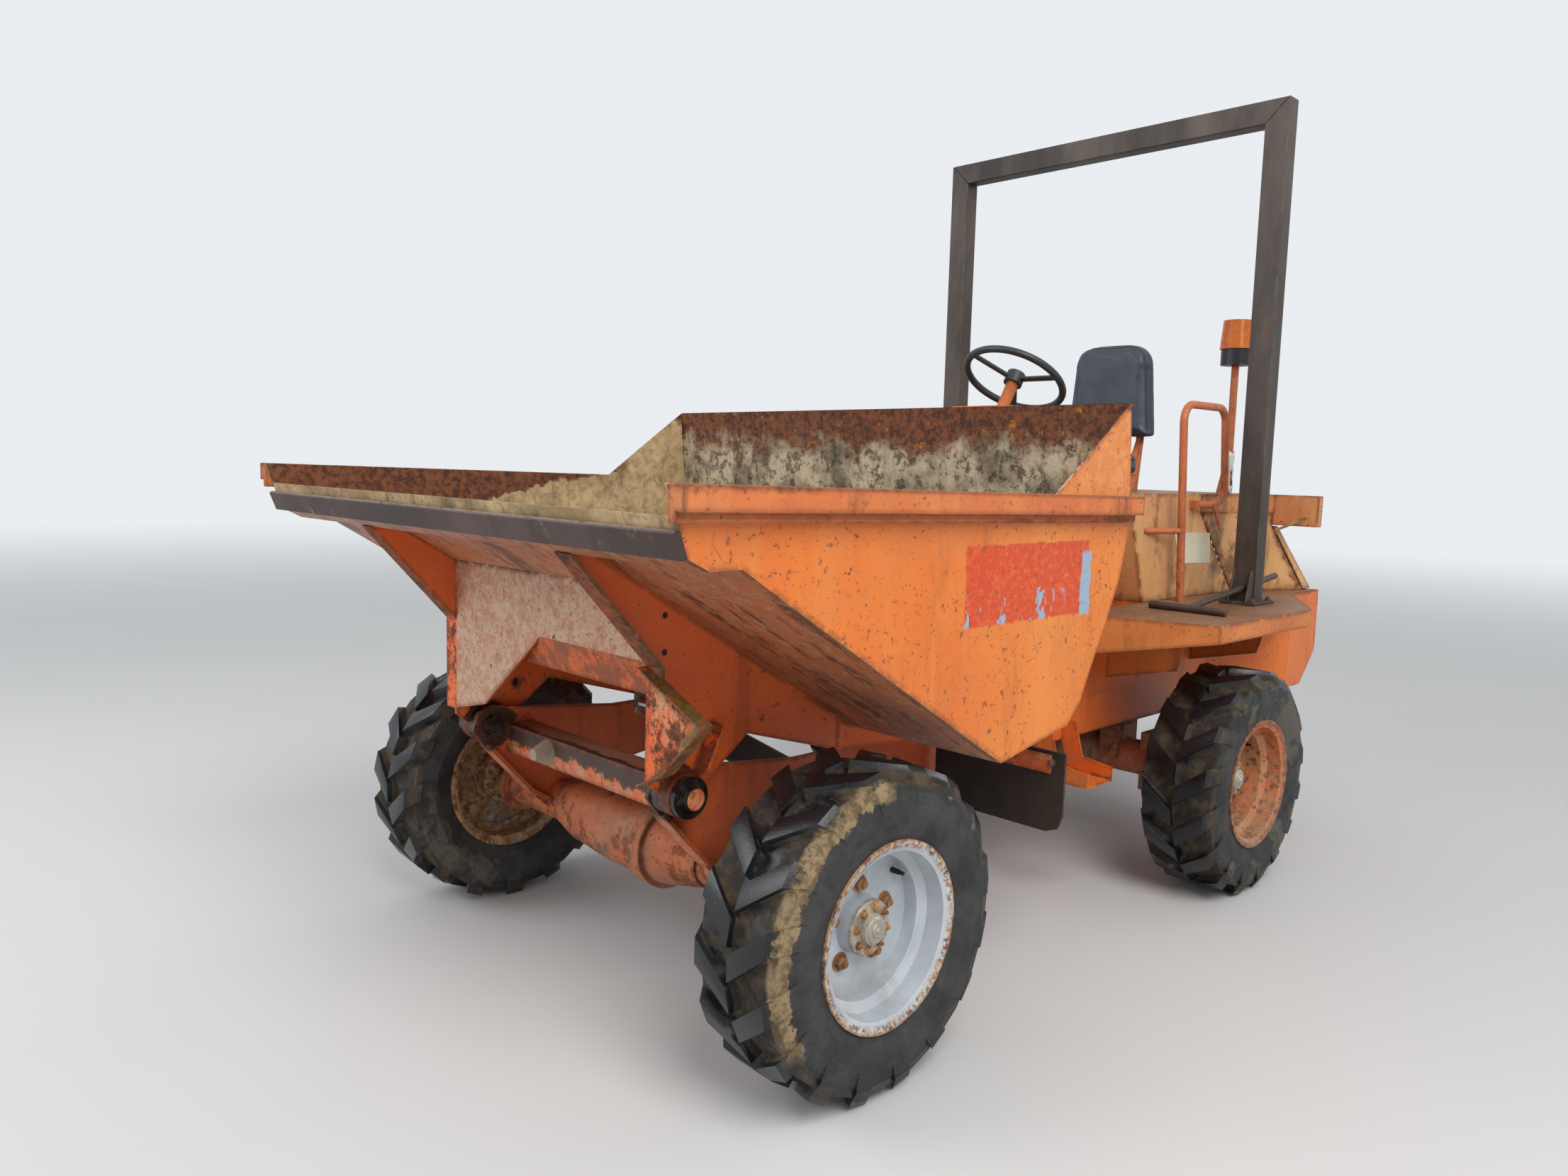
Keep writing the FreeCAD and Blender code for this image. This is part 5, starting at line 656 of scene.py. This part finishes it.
def small_fasteners(looks):
    """Bolts on the frame's feet, the flaps and the hinge ends, and two plugged holes in the left leg."""
    foot_low, foot_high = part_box("rops_post_left")
    flap_low, flap_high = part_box("mud_flaps")

    def foot_bolts(shape):
        for side in (1, -1):
            for x in (foot_low.x + 0.019, foot_high.x - 0.019):
                for y in (foot_low.y + 0.017, foot_high.y - 0.017):
                    hex_bolt(shape, (x, side * y, foot_low.z + 0.0118), (0, 0, 1), 0.0095, 0.5)

    def flap_bolts(shape):
        for side in (1, -1):
            for step in range(4):
                y = 0.48 + step * (flap_high.y - 0.52) / 3
                hex_bolt(shape, (flap_high.x, side * y, flap_high.z - 0.030), (1, 0, 0), 0.0085, 0.4)

    def pin_bolts(shape):
        for side in (1, -1):
            end = Vector((PIN_X, side * PIN_HIGH.y, PIN_Z))
            hex_bolt(shape, end + Vector((0.012, -side * 0.001, 0.014)), (0, side, 0), 0.006)

    def leg_holes(shape):
        for z in (1.062, 0.978):
            drum(shape, (1.446, 0.4495, z), (0, 1, 0), 0.0075, 0.0012, 16)

    piece("foot_bolts", "chassis", looks["bolts"], foot_bolts)
    piece("flap_bolts", "chassis", looks["bolts"], flap_bolts)
    piece("pin_bolts", "chassis", looks["nuts"], pin_bolts)
    piece("leg_plugs", "skip", looks["valve"], leg_holes)


def small_fittings(looks):
    """The hood's catch hook and rod, torn tape round the beacon's pole and a blank plate on the hood."""
    def hook(shape):
        points = ((-1.100, 1.292), (-1.136, 1.292), (-1.150, 1.252), (-1.158, 1.214), (-1.132, 1.250))
        rings = [[shape.verts.new((x, y, z)) for x, z in points] for y in (0.498, 0.506)]
        for start in range(len(points)):
            following = (start + 1) % len(points)
            shape.faces.new((rings[0][start], rings[0][following], rings[1][following], rings[1][start]))
        shape.faces.new(rings[0])
        shape.faces.new(rings[1][::-1])

    def rod(shape):
        route = [Vector(point) for point in ((-1.312, 0.652, 1.204), (-1.420, 0.664, 1.224),
                                             (-1.500, 0.672, 1.246), (-1.541, 0.674, 1.248))]
        for start, end in zip(route, route[1:]):
            drum(shape, start, end - start, 0.0052, (end - start).length + 0.002, 12)
        drum(shape, route[0] - Vector((0.012, 0, 0.004)), (0, 1, 0), 0.011, 0.006, 16)

    piece("catch_hook", "chassis", looks["hook"], hook)
    piece("catch_rod", "chassis", looks["nuts"], rod)

    pole_low, pole_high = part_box("beacon_pole")
    pole_y = (pole_low.y + pole_high.y) / 2
    pole_x = (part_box("beacon_lens")[0].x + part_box("beacon_lens")[1].x) / 2

    def tape(shape):
        sides = 28
        levels = 9
        low = pole_low.z + 0.012
        tall = 0.150
        rows = []
        for level in range(levels):
            row = []
            for turn in range(sides):
                angle = 2 * math.pi * turn / sides
                crease = 0.0015 * math.sin(3 * angle + 2.1 * level) + 0.001 * math.sin(7 * angle + level)
                lift = 0.010 * math.sin(5 * angle) * (level == 0) + 0.004 * math.sin(4 * angle) * (level == levels - 1)
                reach = 0.0185 + crease
                row.append(shape.verts.new((pole_x + math.cos(angle) * reach, pole_y + math.sin(angle) * reach,
                                            low + tall * level / (levels - 1) + lift)))
            rows.append(row)
        for level in range(levels - 1):
            for turn in range(sides):
                following = (turn + 1) % sides
                torn = level in (2, 3) and turn in (4, 5) or level == 1 and turn in (4, 5, 6)
                if not torn:
                    shape.faces.new((rows[level][turn], rows[level][following], rows[level + 1][following],
                                     rows[level + 1][turn]))
    wrapped = piece("pole_tape", "chassis", looks["tape"], tape)
    thick = wrapped.modifiers.new("thick", "SOLIDIFY")
    thick.thickness = 0.0008
    for polygon in wrapped.data.polygons:
        polygon.use_smooth = True

    def plate(shape):
        face_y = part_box("seat_box")[1].y
        corners = ((-0.912, 1.193), (-1.198, 1.185), (-1.215, 1.068), (-0.963, 1.076))
        front = []
        back = []
        for x, z in corners:
            front.append(shape.verts.new((x, face_y + 0.002, z)))
            back.append(shape.verts.new((x, face_y + 0.0003, z)))
        shape.faces.new(front)
        shape.faces.new(back[::-1])
        for start in range(4):
            following = (start + 1) % 4
            shape.faces.new((front[start], back[start], back[following], front[following]))
    piece("blank_plate", "chassis", looks["plate"], plate)


def bound_mesh(item):
    """The object's mesh with its modifiers applied."""
    depsgraph = bpy.context.evaluated_depsgraph_get()
    depsgraph.update()
    return bpy.data.meshes.new_from_object(item.evaluated_get(depsgraph))


def keep_shape(item):
    mesh = bound_mesh(item)
    item.modifiers.clear()
    item.data = mesh


def seat_pad(name, node, rest_axis, rest_side, material):
    """A moulded pad: the solid's form, blown up a little by cloth pressure, free where nothing holds it."""
    scene = bpy.context.scene
    voxel = 0.0075
    shrink = 0.985
    swell_cap = 0.011
    steps = 14
    pad = bpy.data.objects.new(name, nodes[node].data.copy())
    scene.collection.objects.link(pad)
    low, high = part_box(node)
    middle = (low + high) / 2
    for vertex in pad.data.vertices:
        vertex.co = middle + (vertex.co - middle) * shrink
    remesh = pad.modifiers.new("remesh", "REMESH")
    remesh.mode = "VOXEL"
    remesh.voxel_size = voxel
    keep_shape(pad)
    start = [vertex.co.copy() for vertex in pad.data.vertices]
    edge = low[rest_axis] if rest_side < 0 else high[rest_axis]
    held = pad.vertex_groups.new(name="rest")
    depth = 0.3 * (high[rest_axis] - low[rest_axis])
    held.add([i for i, co in enumerate(start) if abs(co[rest_axis] - edge) < depth], 1.0, "REPLACE")
    cloth = pad.modifiers.new("cloth", "CLOTH")
    cloth.settings.use_pressure = True
    cloth.settings.uniform_pressure_force = 4.0
    cloth.settings.effector_weights.gravity = 0.0
    cloth.settings.vertex_group_mass = "rest"
    cloth.point_cache.frame_end = steps
    for number in range(1, steps + 1):
        scene.frame_set(number)
    keep_shape(pad)
    scene.frame_set(1)
    for vertex, before in zip(pad.data.vertices, start):
        moved = vertex.co - before
        if moved.length > swell_cap:
            vertex.co = before + moved * (swell_cap / moved.length)
        vertex.co = Vector([min(max(vertex.co[i], low[i] - 0.002), high[i] + 0.002) for i in range(3)])
    smooth = pad.modifiers.new("smooth", "SMOOTH")
    smooth.factor = 0.5
    smooth.iterations = 4
    pad.modifiers.new("subdivision", "SUBSURF").levels = 1
    keep_shape(pad)
    for polygon in pad.data.polygons:
        polygon.use_smooth = True
    pad.data.materials.clear()
    pad.data.materials.append(material)
    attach(pad, "chassis")
    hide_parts(node)
    return pad


def pad_welt(name, pad, axis, level, material):
    """A raised welt round the pad, found where rays towards its middle meet it."""
    tree = BVHTree.FromObject(pad, bpy.context.evaluated_depsgraph_get())
    corners = [Vector(corner) for corner in pad.bound_box]
    middle = sum(corners, Vector()) / 8
    middle[axis] = level
    across, up = [i for i in range(3) if i != axis]
    count = 96
    radius = 0.0035
    data = bpy.data.curves.new(name, "CURVE")
    data.dimensions = "3D"
    data.bevel_depth = radius
    data.bevel_resolution = 3
    spline = data.splines.new("NURBS")
    spline.points.add(count - 1)
    for turn in range(count):
        angle = 2 * math.pi * turn / count
        out = Vector((0, 0, 0))
        out[across] = math.cos(angle)
        out[up] = math.sin(angle)
        spot = tree.ray_cast(middle + out, -out)[0]
        spline.points[turn].co = (*spot, 1)
    spline.use_cyclic_u = True
    spline.order_u = 3
    data.materials.append(material)
    item = bpy.data.objects.new(name, data)
    bpy.context.scene.collection.objects.link(item)
    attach(item, "chassis")


def seat_pieces():
    vinyl = plain_look("seat_vinyl", colour(62, 70, 82), colour(46, 53, 63), rough=0.5, scale=40, bump=0.3)
    welt = plain_look("seat_welt", colour(40, 45, 53), colour(30, 34, 40), rough=0.45)
    cushion = seat_pad("cushion_pad", "seat_cushion", 2, -1, vinyl)
    backrest = seat_pad("backrest_pad", "seat_backrest", 0, -1, vinyl)
    pad_welt("cushion_welt", cushion, 2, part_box("seat_cushion")[1].z - 0.026, welt)
    pad_welt("backrest_welt", backrest, 0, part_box("seat_backrest")[1].x - 0.022, welt)


def lamp(name, place, target, size, power, tint):
    data = bpy.data.lights.new(name, "AREA")
    data.shape = "DISK"
    data.size = size
    data.energy = power
    data.color = tint
    item = bpy.data.objects.new(name, data)
    item.location = place
    item.rotation_euler = (Vector(target) - Vector(place)).to_track_quat("-Z", "Y").to_euler()
    bpy.context.scene.collection.objects.link(item)


def build_stage():
    """Pale floor, pale surroundings, a broad soft light from above and the photograph's camera."""
    scene = bpy.context.scene
    scene.view_settings.view_transform = "Standard"
    mesh = bpy.data.meshes.new("floor")
    reach = 60.0
    mesh.from_pydata([(-reach, -reach, 0), (reach, -reach, 0), (reach, reach, 0), (-reach, reach, 0)], [],
                     [(0, 1, 2, 3)])
    floor = bpy.data.objects.new("floor", mesh)
    look = Look("floor", rough=0.8)
    look.finish(look.mix(look.noise(0.8, 4), colour(206, 206, 205), colour(212, 212, 211)))
    far = look.nodes.new("ShaderNodeEmission")
    far.inputs["Color"].default_value = HORIZON
    spread = look.nodes.new("ShaderNodeVectorMath")
    spread.operation = "LENGTH"
    look.put(look.place, spread.inputs[0])
    seen = look.nodes.new("ShaderNodeLightPath").outputs["Is Camera Ray"]
    fade = look.nodes.new("ShaderNodeMixShader")
    look.put(look.both(look.step(spread.outputs["Value"], 4.0, 22.0), seen), fade.inputs[0])
    look.put(look.shader.outputs[0], fade.inputs[1])
    look.put(far.outputs[0], fade.inputs[2])
    look.put(fade.outputs[0], look.nodes["Material Output"].inputs["Surface"])
    mesh.materials.append(look.material)
    scene.collection.objects.link(floor)

    world = bpy.data.worlds.new("sky")
    scene.world = world
    world.use_nodes = True
    tree = world.node_tree
    tree.nodes.clear()
    path = tree.nodes.new("ShaderNodeLightPath")
    shown = path.outputs["Is Camera Ray"]
    for ray in ("Is Transmission Ray", "Is Glossy Ray"):
        larger = tree.nodes.new("ShaderNodeMath")
        larger.operation = "MAXIMUM"
        tree.links.new(shown, larger.inputs[0])
        tree.links.new(path.outputs[ray], larger.inputs[1])
        shown = larger.outputs[0]
    ambient = tree.nodes.new("ShaderNodeBackground")
    ambient.inputs["Color"].default_value = (0.93, 0.96, 1.0, 1)
    ambient.inputs["Strength"].default_value = 0.62
    seen = tree.nodes.new("ShaderNodeBackground")
    seen.inputs["Color"].default_value = HORIZON
    blend = tree.nodes.new("ShaderNodeMixShader")
    output = tree.nodes.new("ShaderNodeOutputWorld")
    tree.links.new(shown, blend.inputs[0])
    tree.links.new(ambient.outputs[0], blend.inputs[1])
    tree.links.new(seen.outputs[0], blend.inputs[2])
    tree.links.new(blend.outputs[0], output.inputs[0])

    lamp("key", (2.6, 5.2, 6.0), (0, 0, 0.9), 4.5, 400, (1.0, 0.98, 0.95))
    lamp("fill", (6.0, -3.0, 4.0), (0.4, 0, 0.8), 4.0, 150, (0.95, 0.97, 1.0))

    data = bpy.data.cameras.new("camera")
    data.lens = LENS_MM
    data.sensor_width = SENSOR_MM
    data.sensor_fit = "HORIZONTAL"
    camera = bpy.data.objects.new("camera", data)
    camera.location = CAMERA_PLACE
    camera.rotation_euler = [math.radians(angle) for angle in CAMERA_TURN]
    scene.collection.objects.link(camera)
    scene.camera = camera


def dress(material, *names):
    for name in names:
        nodes[name].data.materials.clear()
        nodes[name].data.materials.append(material)


def round_edges(width, *names):
    """A small rounding on sharp sheet edges, which catches the light."""
    for name in names:
        weld = nodes[name].modifiers.new("weld", "WELD")
        weld.merge_threshold = 0.00002
        bevel = nodes[name].modifiers.new("bevel", "BEVEL")
        bevel.width = width
        bevel.segments = 2
        bevel.limit_method = "ANGLE"
        bevel.angle_limit = math.radians(35)
        bevel.harden_normals = True


def smooth_group(limit):
    """A node group that shades a mesh smooth and keeps the edges sharper than a limit."""
    tree = bpy.data.node_groups.new("smooth_below", "GeometryNodeTree")
    tree.interface.new_socket("Geometry", in_out="INPUT", socket_type="NodeSocketGeometry")
    tree.interface.new_socket("Geometry", in_out="OUTPUT", socket_type="NodeSocketGeometry")
    start = tree.nodes.new("NodeGroupInput")
    end = tree.nodes.new("NodeGroupOutput")
    plain = tree.nodes.new("GeometryNodeRemoveAttribute")
    plain.inputs["Name"].default_value = "custom_normal"
    faces = tree.nodes.new("GeometryNodeSetShadeSmooth")
    sharp = tree.nodes.new("GeometryNodeSetShadeSmooth")
    sharp.domain = "EDGE"
    sharp.inputs["Shade Smooth"].default_value = False
    angle = tree.nodes.new("GeometryNodeInputMeshEdgeAngle")
    over = tree.nodes.new("FunctionNodeCompare")
    over.operation = "GREATER_THAN"
    over.inputs[1].default_value = limit
    tree.links.new(start.outputs[0], plain.inputs[0])
    tree.links.new(plain.outputs[0], faces.inputs["Geometry"])
    tree.links.new(angle.outputs["Unsigned Angle"], over.inputs[0])
    tree.links.new(over.outputs[0], sharp.inputs["Selection"])
    tree.links.new(faces.outputs[0], sharp.inputs["Geometry"])
    tree.links.new(sharp.outputs[0], end.inputs[0])
    return tree


def soften_tyres(*names):
    """Worn lug edges and a smooth casing."""
    group = smooth_group(math.radians(38))
    for name in names:
        weld = nodes[name].modifiers.new("weld", "WELD")
        weld.merge_threshold = 0.00005
        bevel = nodes[name].modifiers.new("bevel", "BEVEL")
        bevel.width = 0.005
        bevel.segments = 2
        bevel.limit_method = "ANGLE"
        bevel.angle_limit = math.radians(32)
        nodes[name].modifiers.new("smooth", "NODES").node_group = group


def dress_nodes():
    made = build_materials()
    dress(skip_look(), "skip_bowl", "skip_sides")
    dress(made["rim"], "skip_rims")
    dress(made["body"], "rear_body", "steps")
    dress(made["fender"], "fenders")
    dress(made["frame"], "chassis_frame")
    dress(made["under"], "skip_underframe", "skip_keels")
    dress(made["hood"], "seat_box", "hood_sides", "tail_cover")
    dress(made["cap"], "hood_cap")
    dress(made["handle"], "grab_handle", "beacon_pole")
    dress(made["console"], "console", "seat_frame")
    dress(made["axle"], "front_axle", "rear_axle", "knuckle_left", "knuckle_right", "tie_rod", "propshafts")
    dress(made["deck"], "rear_deck")
    dress(steel_look("lip_steel", colour(92, 72, 66), colour(60, 46, 42), rough=0.5, metal=0.3, rusty=0.35,
                     splash=0.6, light_top=0.9), "lip_bar")
    dress(steel_look("frame_steel", colour(90, 78, 69), colour(44, 38, 34), rough=0.5, metal=0.2, rusty=0.35),
          "rops_post_left", "rops_post_right", "rops_beam", "foot_pedals")
    dress(steel_look("lock_steel", colour(104, 88, 76), colour(62, 52, 46), rough=0.5, metal=0.4, rusty=0.5),
          "rops_lock_bar")
    dress(pin_look(), "hinge_pins")
    dress(steel_look("engine_iron", colour(60, 56, 52), colour(36, 34, 32), rough=0.7, metal=0.1, rusty=0.4),
          "engine_block", "ram_barrel")
    dress(steel_look("rod_chrome", colour(200, 200, 204), colour(150, 150, 154), rough=0.18, metal=0.95, rusty=0.0),
          "ram_rod")
    dress(plain_look("black_rubber", colour(60, 46, 38), colour(34, 28, 26), rough=0.75), "mud_flaps")
    dress(plain_look("grey_rubber", colour(176, 160, 138), colour(138, 122, 102), rough=0.7, bump=0.6, ribs=1500.0),
          "tipping_buffer")
    dress(plain_look("grip_plastic", colour(52, 55, 56), colour(36, 38, 39), rough=0.45), "steering_wheel")
    dress(glass_amber(), "beacon_lens")
    rims = {
        "front": rim_look("rim_front", colour(194, 200, 205), colour(166, 173, 180), 0.12, FRONT_X,
                          colour(182, 150, 104), colour(168, 158, 142)),
        "rear": rim_look("rim_rear", colour(206, 100, 50), colour(178, 136, 100), 0.9, REAR_X,
                         colour(150, 112, 88), colour(176, 178, 166)),
    }
    for end, place in (("front", FRONT_X), ("rear", REAR_X)):
        for side in ("left", "right"):
            tyre = wheel_look("tyre_%s_%s" % (end, side), place, end == "front" and side == "left")
            dress(tyre, "tyre_%s_%s" % (end, side))
            dress(rims[end], "rim_%s_%s" % (end, side))
            soften_tyres("tyre_%s_%s" % (end, side))
    round_edges(0.0025, "skip_bowl", "skip_sides", "skip_rims", "rear_body", "fenders", "hood_cap", "hood_sides",
                "seat_box", "tail_cover", "lip_bar", "skip_underframe", "skip_keels", "rear_deck")
    round_edges(0.006, "rops_post_left", "rops_post_right", "rops_beam", "console")
    return made


def add_pieces(made):
    looks = {
        "nuts": steel_look("rusty_nuts", colour(170, 126, 76), colour(112, 76, 46), rough=0.6, metal=0.2, rusty=0.6),
        "cap": steel_look("cap_iron", colour(184, 182, 170), colour(140, 134, 120), rough=0.5, metal=0.1, rusty=0.2),
        "bolts": steel_look("old_bolts", colour(96, 80, 66), colour(58, 48, 42), rough=0.6, metal=0.3, rusty=0.6),
        "valve": plain_look("valve_black", colour(22, 22, 23), colour(14, 14, 15), rough=0.5),
        "tape": plain_look("white_tape", colour(222, 222, 218), colour(196, 194, 188), rough=0.4, scale=18),
        "plate": plain_look("bare_plate", colour(226, 220, 196), colour(206, 198, 170), rough=0.55, scale=60),
        "hook": made["handle"],
    }
    for end, place in (("front", FRONT_X), ("rear", REAR_X)):
        for side in (1, -1):
            wheel_fasteners(end, side, place, looks)
    small_fasteners(looks)
    small_fittings(looks)
    seat_pieces()


build_stage()
add_pieces(dress_nodes())
